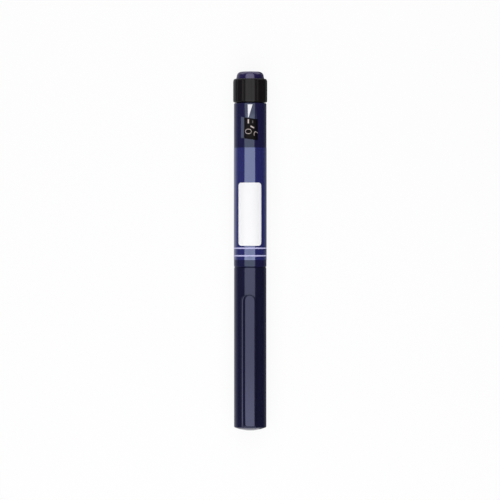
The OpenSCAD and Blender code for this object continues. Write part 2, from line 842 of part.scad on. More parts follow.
// The rounded upper edge of the knob
function knob_shoulder() =
    [for (i = [0:edge_steps]) let (a = 90 * i / edge_steps)
        [knob_r - knob_bevel * (1 - cos(a)), knob_top_z - knob_round * (1 - sin(a))]];

// One tube of wire from the ledge up to the click ring
module clutch_spring() {
    rise = spring_len - wire_d - 2 * fit_gap;
    wire_section = [for (j = [0:spring_sides - 1])
        [spring_r + wire_d / 2 * cos(360 * j / spring_sides), wire_d / 2 * sin(360 * j / spring_sides)]];
    color("silver") laid()
        helix_bar(wire_section, 0, 360 * curls, ledge_top_z + wire_d / 2 + fit_gap, rise / curls, spring_steps);
}
spring_pitch = (spring_len - wire_d - 2 * fit_gap) / curls;
spring_points = [for (i = [0:curls * spring_steps])
    [spring_r * cos(360 * i / spring_steps), spring_r * sin(360 * i / spring_steps), spring_pitch * i / spring_steps]];
spring_gap = min([for (i = [0:(curls - 1) * spring_steps]) for (j = [i + spring_steps / 2:curls * spring_steps])
    norm(spring_points[i] - spring_points[j]) - wire_d]);
echo(least_gap_between_curls_of_the_spring = spring_gap);

// The button: a rounded cap with a skirt, and a stem whose collar pushes the bushing
skirt_r = recess_r - end_gap;
skirt_h = 2.4;
button_lean = 0.3;
module push_button() {
    top_r = skirt_r - button_lean - button_round;
    skirt_z = knob_top_z - skirt_h;
    hollow_z = pen_len - button_wall;
    stem_z = flange_top_z - stem_reach;
    color("midnightblue") laid() {
        difference() {
            rotate_extrude()
                polygon(concat(
                    [[0, skirt_z], [skirt_r, skirt_z], [skirt_r, knob_top_z]],
                    arc([top_r, pen_len - button_round], button_round, 0, 90, dome_steps),
                    [[0, pen_len]]
                ));
            translate([0, 0, skirt_z - overrun])
                cylinder(r = skirt_r - button_wall, h = button_h - button_round + skirt_h + overrun);
            translate([0, 0, skirt_z + button_h - button_round + skirt_h - fit_gap])
                cylinder(r1 = skirt_r - button_wall, r2 = top_r, h = hollow_z - pen_len + button_round + fit_gap);
        }
        translate([0, 0, stem_z]) cylinder(r = stem_r, h = hollow_z - stem_z + button_wall / 2);
        translate([0, 0, flange_top_z + tooth_gap])
            cylinder(r = bushing_r, h = hollow_z - flange_top_z);
    }
}

cap();
housing();
label();
cartridge_holder();
cartridge_glass();
cartridge_seal();
crimp_cap();
plunger();
rod_foot();
piston_rod();
rod_nut();
ratchet_ring();
driver();
bushing();
limit_nut();
click_ring();
scale_drum();
dose_knob();
clutch_spring();
push_button();
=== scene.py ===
from math import asin, atan2, cos, degrees, pi, radians, remainder, sin, sqrt, tan

import bmesh
import bpy
from bpy.props import FloatProperty, FloatVectorProperty, IntProperty, PointerProperty
from bpy.types import Operator, Panel, PropertyGroup
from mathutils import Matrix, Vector


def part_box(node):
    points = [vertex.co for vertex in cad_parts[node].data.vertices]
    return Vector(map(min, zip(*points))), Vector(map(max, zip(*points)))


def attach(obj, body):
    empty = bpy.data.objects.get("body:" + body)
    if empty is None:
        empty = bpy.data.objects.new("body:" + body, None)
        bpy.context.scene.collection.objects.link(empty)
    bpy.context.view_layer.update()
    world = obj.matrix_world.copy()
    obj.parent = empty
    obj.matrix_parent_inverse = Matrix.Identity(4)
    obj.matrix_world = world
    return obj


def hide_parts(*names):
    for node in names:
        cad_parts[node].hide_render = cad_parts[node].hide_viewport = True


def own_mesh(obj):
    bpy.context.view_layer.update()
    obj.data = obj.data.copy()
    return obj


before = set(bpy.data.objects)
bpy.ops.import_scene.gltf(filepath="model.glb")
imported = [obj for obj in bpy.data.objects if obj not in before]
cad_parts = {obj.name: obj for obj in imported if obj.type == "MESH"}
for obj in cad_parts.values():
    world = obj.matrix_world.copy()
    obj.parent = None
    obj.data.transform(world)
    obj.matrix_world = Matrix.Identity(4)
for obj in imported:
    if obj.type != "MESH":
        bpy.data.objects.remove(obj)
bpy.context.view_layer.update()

bl_info = {
    "name": "Pre-filled Insulin Pen",
    "version": (1, 0, 0),
    "blender": (4, 5, 0),
    "location": "View3D > Sidebar > Insulin Pen",
    "description": "Dresses the packed insulin pen with its finishes, print and fine forms",
    "category": "Add Mesh",
}

MM = 0.001
SIDES = 192

# Places and radii, read from the frame. A place along the pen is given from the cap's closed end.
CAP_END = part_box("cap")[0].x
AXIS_Z = (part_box("dose_knob")[0].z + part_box("dose_knob")[1].z) / 2


def along(mm):
    """The X of a place that is so many millimetres from the cap's closed end."""
    return CAP_END + mm * MM


def ends(node):
    """Where a node starts and ends along the pen, in millimetres from the cap's closed end."""
    low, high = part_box(node)
    return (low.x - CAP_END) / MM, (high.x - CAP_END) / MM


def radius(node):
    """A round node's radius in millimetres."""
    low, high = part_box(node)
    return (high.y - low.y) / 2 / MM


CAP_MOUTH = ends("cap")[1]
CAP_R = radius("cap")
HOUSING_START, HOUSING_END = ends("housing")
HOUSING_R = radius("housing")
LABEL_START, LABEL_END = ends("label")
LABEL_R = radius("label")
HOLDER_TIP, HOLDER_END = ends("cartridge_holder")
RATCHET_END = ends("ratchet_ring")[1]
DRUM_END = ends("scale_drum")[1]
DRUM_R = radius("scale_drum")
KNOB_START, KNOB_END = ends("dose_knob")
KNOB_R = radius("dose_knob")
BUTTON_STEM, PEN_LEN = ends("push_button")
ROD_START, ROD_END = ends("piston_rod")
SPRING_START, SPRING_END = ends("clutch_spring")

# The window, the pointer's ramp and the bores, as on the housing in the frame. Only the window's left wall
# starts 0.45 mm nearer to the middle than the solid's.
WINDOW_TOP = HOUSING_END - 6.4
WINDOW_H = 9.5
WINDOW_LEFT = 4.15
WINDOW_RIGHT = 3.35
WINDOW_DROP = 1.1
WINDOW_BEVEL = 1.65
REAR_EDGE_R = 0.5
RAMP_W = 5.4
RAMP_DEPTH = 0.5
RAMP_START = HOUSING_END - 0.9
RAMP_END = WINDOW_TOP - WINDOW_DROP
REAR_BORE_R = 6.4
FRONT_BORE_R = 6.53
CLIP_TURN = radians(-5.5)

# The dose scale on the drum: a mark or a number at every second unit
SCALE_TURN = radians(-7.6)
DRUM_LEAD = 8.5
UNITS_PER_TURN = 20
MAX_DOSE = 60
SCALE_EVERY = 2

# How far print lies above what is under it, in millimetres, and the width of the strips it is bent in
PRINT_LIFT = 0.005
SLICE = 0.35 * MM


def srgb(*levels):
    """A colour written as 0 to 255 display levels, as the 0 to 1 that a colour property holds."""
    return tuple(level / 255 for level in levels)


def linear(colour):
    """A display colour as the linear colour that a shader socket takes."""
    return tuple(c / 12.92 if c <= 0.04045 else ((c + 0.055) / 1.055) ** 2.4 for c in colour) + (1.0,)


def colour_property(label, text, default):
    return FloatVectorProperty(name=label, description=text, subtype="COLOR_GAMMA", min=0, max=1,
                               default=default)


def length_property(label, text, mm):
    return FloatProperty(name=label, description=text, unit="LENGTH", default=mm * MM)


def angle_property(label, text, turn):
    return FloatProperty(name=label, description=text, subtype="ANGLE", default=radians(turn))


class PenColours(PropertyGroup):
    """The colours of the pen's pieces."""
    housing: colour_property("Housing", "Dark blue plastic of the housing", srgb(28, 26, 63))
    cap: colour_property("Cap", "Darker blue plastic of the cap and its clip", srgb(21, 21, 46))
    label: colour_property("Label", "Printed ground of the label", srgb(40, 42, 104))
    panel: colour_property("Panel", "Bare white panel on the label", srgb(250, 250, 252))
    line: colour_property("Lines", "Two pale lines round the label", srgb(196, 194, 236))
    knob: colour_property("Knob", "Near-black plastic of the dose knob", srgb(20, 17, 17))
    button: colour_property("Button", "Indigo plastic of the push button", srgb(36, 28, 72))
    mark: colour_property("Scale marks", "Marks and numbers on the dose scale", srgb(214, 199, 196))


class PenPrint(PropertyGroup):
    """Sizes of what is printed or formed on the pen."""
    panel_angle: angle_property("Panel Angle", "How far the white panel goes round the label", 87)
    panel_turn: angle_property("Panel Turn", "Turn of the panel's middle from the window's side", -1.4)
    panel_start: length_property("Panel Start", "Distance from the cap's closed end to the panel", 83.4)
    panel_length: length_property("Panel Length", "Length of the panel along the pen", 28.4)
    panel_corner: length_property("Panel Corner", "Radius of the panel's corners", 1.5)
    print_height: length_property("Print Height", "Height of print above what it is on", 0.02)
    line_width: length_property("Line Width", "Width of each pale line", 0.6)
    numeral_height: length_property("Numeral Height", "Height of the numbers round the drum", 2.9)
    numeral_width: length_property("Numeral Width", "Width of one digit along the pen", 2.3)
    tick_length: length_property("Tick Length", "Length of a scale mark along the pen", 1.9)
    flutes: IntProperty(name="Flutes", description="Number of flutes round the dose knob", default=24, min=0)
    flute_depth: length_property("Flute Depth", "Depth of each flute in the dose knob", 0.08)
    needle_pitch: length_property("Needle Thread Pitch", "Pitch of the thread that takes the needle", 1.0)
    rod_pitch: length_property("Rod Thread Pitch", "Pitch of the piston rod's thread", 2.736)


class PenStudio(PropertyGroup):
    """The plain studio round the pen."""
    lamp_height: length_property("Lamp Height", "Height of the soft boxes above the floor", 360)
    lamp_level: FloatProperty(name="Lamp Level", description="Brightness of a soft box, where 1 is white",
                              default=1.3, min=0)
    floor: colour_property("Floor", "Pale floor under the pen", srgb(246, 246, 247))
    shadow_share: FloatProperty(name="Shadow Share", description="How much of the shading the floor shows",
                                subtype="FACTOR", default=0.1, min=0, max=1)
    camera_distance: length_property("Camera Distance", "Distance from the camera to the pen's axis", 1500)


# Short calls for node trees

class Value:
    """What a node puts out. Arithmetic on it adds Math nodes."""

    def __init__(self, tree, socket):
        self.tree, self.socket = tree, socket

    def math(self, operation, *others):
        return get(self.tree, "ShaderNodeMath", dict(enumerate((self, *others))), operation=operation)

    def __add__(self, other):
        return self.math("ADD", other)

    def __sub__(self, other):
        return self.math("SUBTRACT", other)

    def __rsub__(self, other):
        return get(self.tree, "ShaderNodeMath", {0: other, 1: self}, operation="SUBTRACT")

    def __mul__(self, other):
        return self.math("MULTIPLY", other)

    def __truediv__(self, other):
        return self.math("DIVIDE", other)


def add(tree, kind, inputs=None, **settings):
    """Adds a node, with its settings, and with its inputs linked where a Value is given."""
    node = tree.nodes.new(kind)
    for name, setting in settings.items():
        setattr(node, name, setting)
    for key, given in (inputs or {}).items():
        if isinstance(given, Value):
            tree.links.new(given.socket, node.inputs[key])
        else:
            node.inputs[key].default_value = given
    return node


def get(tree, kind, inputs=None, output=0, **settings):
    """What a new node puts out."""
    return Value(tree, add(tree, kind, inputs, **settings).outputs[output])


def parts(vector):
    """The x, y and z of a vector."""
    outputs = add(vector.tree, "ShaderNodeSeparateXYZ", {0: vector}).outputs
    return [Value(vector.tree, socket) for socket in outputs]


def combined(tree, **numbers):
    """A vector with these of x, y and z."""
    return get(tree, "ShaderNodeCombineXYZ", {name.upper(): number for name, number in numbers.items()})


SOCKET_KINDS = {bool: "Bool", int: "Int", float: "Float", tuple: "Color"}


def new_tree(name, kind, inputs, outputs):
    """A node tree with named inputs and outputs, and a call that gives the Value of an input.

    An input's kind is that of its default, or is named where it has none."""
    tree = bpy.data.node_groups.new(name, kind)
    for label, default in inputs.items():
        socket = SOCKET_KINDS.get(type(default), default)
        item = tree.interface.new_socket(label, in_out="INPUT", socket_type="NodeSocket" + socket)
        if socket != default:
            item.default_value = default
    for label, socket in outputs.items():
        tree.interface.new_socket(label, in_out="OUTPUT", socket_type="NodeSocket" + socket)
    start = tree.nodes.new("NodeGroupInput")
    return tree, lambda label: Value(tree, start.outputs[label])


# Geometry trees

def geometry_tree(name, inputs):
    """A geometry tree, which works on the modifier object's own geometry and takes a material."""
    return new_tree(name, "GeometryNodeTree", {"Geometry": "Geometry", "Axis Height": AXIS_Z,
                                               "Material": "Material", **inputs}, {"Mesh": "Geometry"})


def finish_tree(tree, geometry, material):
    """Ends a tree in Realize Instances and Set Material."""
    real = get(tree, "GeometryNodeRealizeInstances", {"Geometry": geometry})
    dressed = get(tree, "GeometryNodeSetMaterial", {"Geometry": real, "Material": material})
    add(tree, "NodeGroupOutput", {"Mesh": dressed})
    return tree


def turning_tree():
    """Turns the object's outline, a line of (x, radius) points, round the pen's axis, with flutes."""
    tree, given = geometry_tree("turning", {
        "Rows": 2, "Sides": SIDES, "Flutes": 0, "Flute Depth": 0.0, "Flute Share": 0.734})
    rows, sides = given("Rows"), given("Sides")
    last_row = rows - 1
    grid = get(tree, "GeometryNodeMeshGrid", {
        "Size X": last_row, "Size Y": sides, "Vertices X": rows, "Vertices Y": sides + 1})
    position = get(tree, "GeometryNodeInputPosition")
    grid_x, grid_y, _ = parts(position)
    share = grid_y / sides + 0.5
    source = {"Geometry": given("Geometry"), "Index": (grid_x + last_row * 0.5).math("ROUND")}
    weight = get(tree, "GeometryNodeInputNamedAttribute", {"Name": "fluted"}, data_type="FLOAT")
    point = get(tree, "GeometryNodeSampleIndex", {**source, "Value": position}, data_type="FLOAT_VECTOR")
    fluted = get(tree, "GeometryNodeSampleIndex", {**source, "Value": weight}, data_type="FLOAT")
    x, _, r = parts(point)
    across = (share * given("Flutes")).math("FRACT")
    off = (across - 0.5).math("ABSOLUTE") / (given("Flute Share") * 0.5)
    scoop = (1 - off * off).math("MAXIMUM", 0)
    reach = r - scoop * given("Flute Depth") * fluted
    angle = share * (2 * pi)
    side = reach * angle.math("SINE") * -1
    height = reach * angle.math("COSINE") + given("Axis Height")
    moved = get(tree, "GeometryNodeSetPosition", {
        "Geometry": grid, "Position": combined(tree, x=x, y=side, z=height)})
    merged = get(tree, "GeometryNodeMergeByDistance", {"Geometry": moved, "Distance": 1e-6})
    return finish_tree(tree, merged, given("Material"))


def coil_tree():
    """A round or edged bar wound along the pen's axis, thinning out at both ends."""
    tree, given = geometry_tree("coil", {
        "Start": 0.0, "Start Angle": 0.0, "Coil Radius": 5 * MM, "Lead": 1 * MM, "Turns": 4.0,
        "Left Hand": False, "Bar Radius": 0.2 * MM, "Bar Sides": 12, "Steps": 48, "Taper Share": 0.02})
    line = get(tree, "GeometryNodeCurveSpiral", {
        "Resolution": given("Steps"), "Rotations": given("Turns"), "Start Radius": given("Coil Radius"),
        "End Radius": given("Coil Radius"), "Height": given("Lead") * given("Turns"),
        "Reverse": given("Left Hand")})
    factor = get(tree, "GeometryNodeSplineParameter")
    nearest = factor.math("MINIMUM", 1 - factor)
    thickness = (nearest / given("Taper Share") + 0.05).math("MINIMUM", 1)
    section = get(tree, "GeometryNodeCurvePrimitiveCircle", {
        "Resolution": given("Bar Sides"), "Radius": given("Bar Radius")})
    bar = get(tree, "GeometryNodeCurveToMesh", {
        "Curve": line, "Profile Curve": section, "Scale": thickness, "Fill Caps": True})
    spun = get(tree, "GeometryNodeTransform", {
        "Geometry": bar, "Rotation": combined(tree, z=given("Start Angle"))})
    laid = get(tree, "GeometryNodeTransform", {
        "Geometry": spun, "Rotation": (pi, -pi / 2, 0),
        "Translation": combined(tree, x=given("Start"), z=given("Axis Height"))})
    return finish_tree(tree, laid, given("Material"))


def scale_tree():
    """The modifier object's mark, repeated along a helix or a line."""
    tree, given = geometry_tree("scale", {"Count": 31, "Angle Step": 0.0, "Place Step": -0.85 * MM})
    points = get(tree, "GeometryNodeMeshLine", {
        "Count": given("Count"), "Start Location": combined(tree, z=given("Axis Height")),
        "Offset": combined(tree, x=given("Place Step"))})
    turn = get(tree, "GeometryNodeInputIndex") * given("Angle Step")
    copies = get(tree, "GeometryNodeInstanceOnPoints", {
        "Points": points, "Instance": given("Geometry"), "Rotation": combined(tree, x=turn)})
    return finish_tree(tree, copies, given("Material"))


# Meshes

def link(name, mesh):
    """A new object at the origin that shows the mesh."""
    piece = bpy.data.objects.new(name, mesh)
    bpy.context.scene.collection.objects.link(piece)
    return piece


def shown(piece):
    """What the object shows, as a new plain mesh."""
    return bpy.data.meshes.new_from_object(piece.evaluated_get(bpy.context.evaluated_depsgraph_get()))


def bake_modifiers(piece):
    """Makes what the modifiers show the object's own plain mesh."""
    mesh = shown(piece)
    piece.modifiers.clear()
    piece.data = mesh


def tidy_mesh(piece):
    """Merges doubles, points faces outwards, and shades smooth, apart from edges over 32 degrees."""
    mesh = piece.data
    bm = bmesh.new()
    bm.from_mesh(mesh)
    bmesh.ops.remove_doubles(bm, verts=bm.verts, dist=1e-7)
    bmesh.ops.recalc_face_normals(bm, faces=bm.faces)
    bm.to_mesh(mesh)
    bm.free()
    mesh.shade_smooth()
    mesh.set_sharp_from_angle(angle=radians(32))
    return piece


def by_tree(piece, tree, **values):
    """Runs a geometry tree on the object with these named inputs, then keeps the result as a plain mesh."""
    modifier = piece.modifiers.new(tree.name, "NODES")
    modifier.node_group = tree
    named = {item.name.replace(" ", "_").lower(): item.identifier
             for item in tree.interface.items_tree if item.in_out == "INPUT"}
    for name, value in values.items():
        modifier[named[name]] = value
    bake_modifiers(piece)
    drop_empty_slots(piece)
    return tidy_mesh(piece)


def drop_empty_slots(piece):
    """Leaves a tree's mesh its one finish, because the mesh that a tree starts from has an empty slot."""
    mesh = piece.data
    used = [material for material in mesh.materials if material]
    mesh.materials.clear()
    for material in used:
        mesh.materials.append(material)
    for face in mesh.polygons:
        face.material_index = 0


def turned(name, outline, material, closed=True, fluted=(), **values):
    """A piece turned round the axis from (place, radius) points in millimetres.

    fluted gives each point's share of the flutes' depth."""
    points = list(outline)
    shares = list(fluted) or [0.0] * len(points)
    if closed:
        points.append(points[0])
        shares.append(shares[0])
    mesh = bpy.data.meshes.new(name)
    edges = [(i, i + 1) for i in range(len(points) - 1)]
    mesh.from_pydata([(along(x), 0, r * MM) for x, r in points], edges, [])
    mesh.attributes.new("fluted", "FLOAT", "POINT").data.foreach_set("value", shares)
    return by_tree(link(name, mesh), trees["turning"], rows=len(points), material=material, **values)


def filleted(corners, steps):
    """The outline through (place, radius, rounding) corners, with each corner rounded."""
    points = []
    for i, (x, r, rounding) in enumerate(corners):
        here = Vector((x, r))
        if rounding <= 0:
            points.append((x, r))
            continue
        before = (Vector(corners[i - 1][:2]) - here).normalized()
        after = (Vector(corners[(i + 1) % len(corners)][:2]) - here).normalized()
        half = before.angle(after) / 2
        middle = here + (before + after).normalized() * (rounding / sin(half))
        reach = rounding / tan(half)
        first, last = here + before * reach - middle, here + after * reach - middle
        start = atan2(first.y, first.x)
        sweep = remainder(atan2(last.y, last.x) - start, 2 * pi)
        points += [(middle.x + rounding * cos(start + sweep * k / steps),
                    middle.y + rounding * sin(start + sweep * k / steps)) for k in range(steps + 1)]
    return points


def arc(x, r, size, start, stop, steps):
    """Points of an arc in an outline, from one angle in degrees to another."""
    turns = [radians(start + (stop - start) * k / steps) for k in range(steps + 1)]
    return [(x + size * cos(a), r + size * sin(a)) for a in turns]


def at_angle(x, reach, turn):
    """A point at X x, so far from the axis, turned from the window's side to the picture's right."""
    return Vector((x, -reach * sin(turn), AXIS_Z + reach * cos(turn)))


def at_place(s, right, up):
    """The point so many millimetres along the pen, to the picture's right of its axis, and above it."""
    return (along(s), -right * MM, AXIS_Z + up * MM)


def rotated(x, y, turn):
    """The point (x, y) turned about the origin."""
    return x * cos(turn) - y * sin(turn), x * sin(turn) + y * cos(turn)


def rectangle(x0, y0, x1, y1):
    """The corners of a rectangle, in order."""
    return [(x0, y0), (x1, y0), (x1, y1), (x0, y1)]


def clamped(share):
    """The number, kept within 0 and 1."""
    return min(1.0, max(0.0, share))


def from_faces(name, verts, faces, material=None):
    """A new object made of these corners and faces."""
    mesh = bpy.data.meshes.new(name)
    mesh.from_pydata([tuple(v) for v in verts], [], faces)
    if material:
        mesh.materials.append(material)
    return tidy_mesh(link(name, mesh))


def block(name, rings, material=None):
    """A closed body through rings that have the same number of points, with its two ends filled."""
    count = len(rings[0])
    verts = [p for ring in rings for p in ring]
    faces = []
    for k in range(0, count * (len(rings) - 1), count):
        for j in range(count):
            after = (j + 1) % count
            faces.append((k + j, k + after, k + count + after, k + count + j))
    faces += [tuple(range(count)), tuple(len(verts) - count + j for j in range(count))]
    return from_faces(name, verts, faces, material)


def combine(piece, tool, operation):
    """Cuts, joins or crosses the piece with a tool, which is then removed."""
    modifier = piece.modifiers.new("combine", "BOOLEAN")
    modifier.operation = operation
    modifier.solver = "EXACT"
    modifier.object = tool
    bake_modifiers(piece)
    bpy.data.objects.remove(tool)
    return tidy_mesh(piece)


def join(piece, other):
    """Takes the other object's mesh into the piece."""
    bm = bmesh.new()
    bm.from_mesh(piece.data)
    bm.from_mesh(other.data)
    bm.to_mesh(piece.data)
    bm.free()
    bpy.data.objects.remove(other)
    return piece


def soften(piece, width, angle):
    """Rounds the piece's edges that are sharper than the angle."""
    bevel = piece.modifiers.new("soften", "BEVEL")
    bevel.width = width
    bevel.segments = 2
    bevel.limit_method = "ANGLE"
    bevel.angle_limit = radians(angle)
    bevel.use_clamp_overlap = True
    bake_modifiers(piece)
    return tidy_mesh(piece)


def coil(name, start, material, **values):
    """A bar wound round the pen's axis from a place along it. The values are the coil tree's inputs."""
    piece = link(name, bpy.data.meshes.new(name))
    return by_tree(piece, trees["coil"], start=along(start), material=material, **values)


def wrapped(name, outline, height, reach_at, material):
    """A flat outline of (X, Y) points as a thin plate wrapped on the pen, where its radius is reach_at(x)."""
    bm = bmesh.new()
    face = bm.faces.new([bm.verts.new((x, y, 0)) for x, y in outline])
    bmesh.ops.triangulate(bm, faces=[face])
    wrap(bm, height, reach_at)
    return from_bmesh(name, bm, material)


def from_bmesh(name, bm, material):
    """A new object made of the bmesh, which is then freed."""
    mesh = bpy.data.meshes.new(name)
    bm.to_mesh(mesh)
    bm.free()
    mesh.materials.append(material)
    return tidy_mesh(link(name, mesh))


def wrap(bm, height, reach_at):
    """Thickens flat faces, slices them into narrow strips, and bends them round the pen's axis."""
    lows = [v.co.y for v in bm.verts]
    grown = bmesh.ops.extrude_face_region(bm, geom=bm.faces[:])["geom"]
    bmesh.ops.translate(bm, vec=(0, 0, height), verts=[v for v in grown if isinstance(v, bmesh.types.BMVert)])
    cuts = int((max(lows) - min(lows)) / SLICE)
    for k in range(1, cuts + 1):
        bmesh.ops.bisect_plane(bm, geom=bm.verts[:] + bm.edges[:] + bm.faces[:],
                               plane_co=(0, min(lows) + k * SLICE, 0), plane_no=(0, 1, 0))
    for v in bm.verts:
        reach = reach_at(v.co.x)
        v.co = at_angle(v.co.x, reach + v.co.z, -v.co.y / reach)


def repeated_mark(name, surface_r, turn, width, place, length, slant, sizes, finish, **steps):
    """A printed mark on a surface of this radius, repeated by the scale tree with these steps."""
    reach = (surface_r + PRINT_LIFT) * MM
    corners = rectangle(-length / 2, -width / 2, length / 2, width / 2)
    slanted = [rotated(x, y, radians(slant)) for x, y in corners]
    middle_x, middle_y = along(place + length / 2), -turn * reach
    outline = [(middle_x + x * MM, middle_y + y * MM) for x, y in slanted]
    piece = wrapped(name, outline, sizes.print_height, lambda x: reach, finishes[finish])
    for v in piece.data.vertices:
        v.co.z -= AXIS_Z
    return by_tree(piece, trees["scale"], material=finishes[finish], **steps)


# Materials

SHADER_OUTPUTS = {"Colour": "Color", "Roughness": "Float", "Height": "Float"}
RELIEF = 0.02 * MM


def noise(place, scale, detail, distortion=0.0):
    """Noise from 0 to 1 at a place."""
    return get(place.tree, "ShaderNodeTexNoise", {
        "Vector": place, "Scale": scale, "Detail": detail, "Distortion": distortion})


def dimmed(colour, level):
    """A colour times a level."""
    return get(colour.tree, "ShaderNodeVectorMath", {0: colour, "Scale": level}, operation="SCALE")


def skin_group():
    """Moulded plastic seen close: cloudy tone, a fine grain, and handling marks in the gloss."""
    tree, given = new_tree("moulded skin", "ShaderNodeTree", {
        "Colour": (0.5, 0.5, 0.5, 1), "Tone Change": 0.1, "Roughness": 0.2, "Gloss Change": 0.06,
        "Grain": 2500.0, "Hairlines": 0.3}, SHADER_OUTPUTS)
    place = get(tree, "ShaderNodeTexCoord", output="Object")
    stretched = get(tree, "ShaderNodeMapping", {"Vector": place, "Scale": (160.0, 9000.0, 9000.0)})
    hairs = get(tree, "ShaderNodeMapRange", {
        "Value": noise(stretched, 1.0, 2.0), "From Min": 0.62, "From Max": 0.78}) * given("Hairlines")
    level = (noise(place, 90.0, 3.0) - 0.5) * given("Tone Change") + 1
    gloss = (noise(place, 320.0, 4.0, 1.2) - 0.45) * given("Gloss Change")
    rough = given("Roughness") + gloss + hairs * 0.12
    add(tree, "NodeGroupOutput", {
        "Colour": dimmed(given("Colour"), level), "Roughness": rough.math("MAXIMUM", 0.02),
        "Height": noise(place, given("Grain"), 2.0) - hairs})
    return tree


def metal_group():
    """Drawn or rolled metal: fine lines round the axis, and a tone that wanders."""
    tree, given = new_tree("drawn metal", "ShaderNodeTree", {
        "Colour": (0.8, 0.8, 0.8, 1), "Roughness": 0.3, "Lines": 6000.0}, SHADER_OUTPUTS)
    place = get(tree, "ShaderNodeTexCoord", output="Object")
    stretched = get(tree, "ShaderNodeVectorMath", {
        0: place, 1: combined(tree, x=given("Lines"), y=300.0, z=300.0)}, operation="MULTIPLY")
    line = noise(stretched, 1.0, 3.0)
    level = noise(place, 400.0, 2.0) * 0.3 + 0.85
    add(tree, "NodeGroupOutput", {
        "Colour": dimmed(given("Colour"), level), "Roughness": given("Roughness") + line * 0.18,
        "Height": line})
    return tree


def surface(name, group, group_values, strength=0.2, **sockets):
    """A material whose colour, roughness and bump come from a group, with constants on the shader itself."""
    material = bpy.data.materials.new(name)
    material.use_nodes = True
    tree = material.node_tree
    shader = tree.nodes["Principled BSDF"]
    effect = add(tree, "ShaderNodeGroup", group_values, node_tree=groups[group]).outputs
    relief = get(tree, "ShaderNodeBump", {
        "Height": Value(tree, effect["Height"]), "Strength": strength, "Distance": RELIEF})
    tree.links.new(effect["Colour"], shader.inputs["Base Color"])
    tree.links.new(effect["Roughness"], shader.inputs["Roughness"])
    tree.links.new(relief.socket, shader.inputs["Normal"])
    for key, value in sockets.items():
        shader.inputs[key.replace("_", " ")].default_value = value
    return material


def plastic(name, colour, roughness, change=0.12, gloss=0.06, grain=2500.0, hairlines=0.3, **sockets):
    """A moulded plastic of this display colour."""
    return surface(name, "skin", {
        "Colour": linear(colour), "Tone Change": change, "Roughness": roughness, "Gloss Change": gloss,
        "Grain": grain, "Hairlines": hairlines}, **sockets)


def ink(name, colour, roughness=0.45, change=0.04, gloss=0.05, **sockets):
    """A print of this display colour, without hairlines."""
    return plastic(name, colour, roughness, change, gloss, 5000.0, 0.0, **sockets)


def rubber(name, colour, roughness):
    """A dull rubber of this display colour."""
    return plastic(name, colour, roughness, 0.2, 0.1, 3000.0, 0.0, strength=0.5)


def metal(name, colour, roughness, lines):
    """A bare metal of this display colour."""
    look = {"Colour": linear(colour), "Roughness": roughness, "Lines": lines}
    return surface(name, "metal", look, Metallic=1.0)


# Tints of the highlights
COOL = (0.62, 0.66, 1.0, 1.0)
COOLER = (0.5, 0.65, 1.0, 1.0)
PALE_BLUE = (0.71, 0.85, 1.0, 1.0)
VIOLET = (0.8, 0.75, 1.0, 1.0)

trees = {}
groups = {}
finishes = {}


def make_finishes(colours):
    """Every tree, and every finish of the pen. A finish that is a slot of the record has the slot's name."""
    trees.update(turning=turning_tree(), coil=coil_tree(), scale=scale_tree())
    groups.update(skin=skin_group(), metal=metal_group())
    finishes.update({
        "dark_blue_housing": plastic("housing blue", colours.housing, 0.1, IOR=1.72, Specular_Tint=PALE_BLUE),
        "dark_blue_cap": plastic("cap blue", colours.cap, 0.14, IOR=1.78, Specular_Tint=COOL),
        "printed_label": plastic("label film", colours.label, 0.08, 0.06, 0.03, 4000.0, 0.1, IOR=2.17,
                                 Specular_Tint=COOLER, Coat_Weight=1.0, Coat_Roughness=0.04, Coat_IOR=1.62),
        "panel": ink("white print", colours.panel, 0.35, 0.01, 0.04, IOR=1.45),
        "line": ink("pale print", colours.line, 0.3, 0.03, 0.04, IOR=1.45),
        "mark": ink("scale print", colours.mark),
        "faint_mark": ink("faint scale print", srgb(104, 95, 99)),
        "holder_mark": ink("holder print", srgb(38, 42, 58), 0.4),
        "pointer": ink("pointer print", srgb(240, 240, 246), 0.3, 0.02),
        "black_knob": plastic("knob black", colours.knob, 0.3, 0.2, 0.1, 3500.0, 0.6, strength=0.35,
                              Specular_IOR_Level=0.31),
        "indigo_button": plastic("button indigo", colours.button, 0.16, IOR=1.98, Specular_Tint=VIOLET),
        "black_drum": plastic("drum black", srgb(14, 10, 12), 0.4, 0.15, 0.05, 3000.0, 0.2,
                              Specular_IOR_Level=0.1),
        "clear_holder": plastic("clear holder", srgb(236, 240, 246), 0.04, 0.02, 0.02, 1500.0, 0.2,
                                strength=0.05, IOR=1.49, Transmission_Weight=1.0),
        "clear_glass": plastic("cartridge glass", srgb(244, 250, 250), 0.02, 0.01, 0.0, 1200.0, 0.0,
                               strength=0.02, IOR=1.5, Transmission_Weight=1.0),
        "seal_rubber": rubber("seal rubber", srgb(196, 92, 64), 0.55),
        "plunger_rubber": rubber("plunger rubber", srgb(196, 86, 60), 0.5),
        "crimped_aluminium": metal("crimped aluminium", srgb(214, 216, 220), 0.22, 7000.0),
        "spring_steel": metal("spring steel", srgb(190, 192, 196), 0.18, 900.0),
        "white_plastic": plastic("white acetal", srgb(232, 231, 226), 0.32, 0.06),
        "blue_grey_plastic": plastic("blue-grey acetal", srgb(122, 142, 168), 0.3),
        "grey_plastic": plastic("grey plastic", srgb(112, 118, 126), 0.34),
        "blue_plastic": plastic("driver blue", srgb(58, 110, 168), 0.28),
        "light_plastic": plastic("light plastic", srgb(206, 208, 208), 0.34, 0.06),
        "orange_plastic": plastic("limit nut orange", srgb(226, 124, 40), 0.3),
    })


def dress(piece, body, slot, *nodes):
    """Says which body a finished piece rides on, and the frame nodes it stands for. The slot argument is not
    used.
    """
    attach(piece, body)
    if nodes:
        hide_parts(*nodes)


def dress_nodes(*nodes):
    """Gives these nodes of the frame the finishes of their own slots."""
    for node in nodes:
        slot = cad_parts[node].material_slots[0]
        slot.material = finishes[slot.material.name]


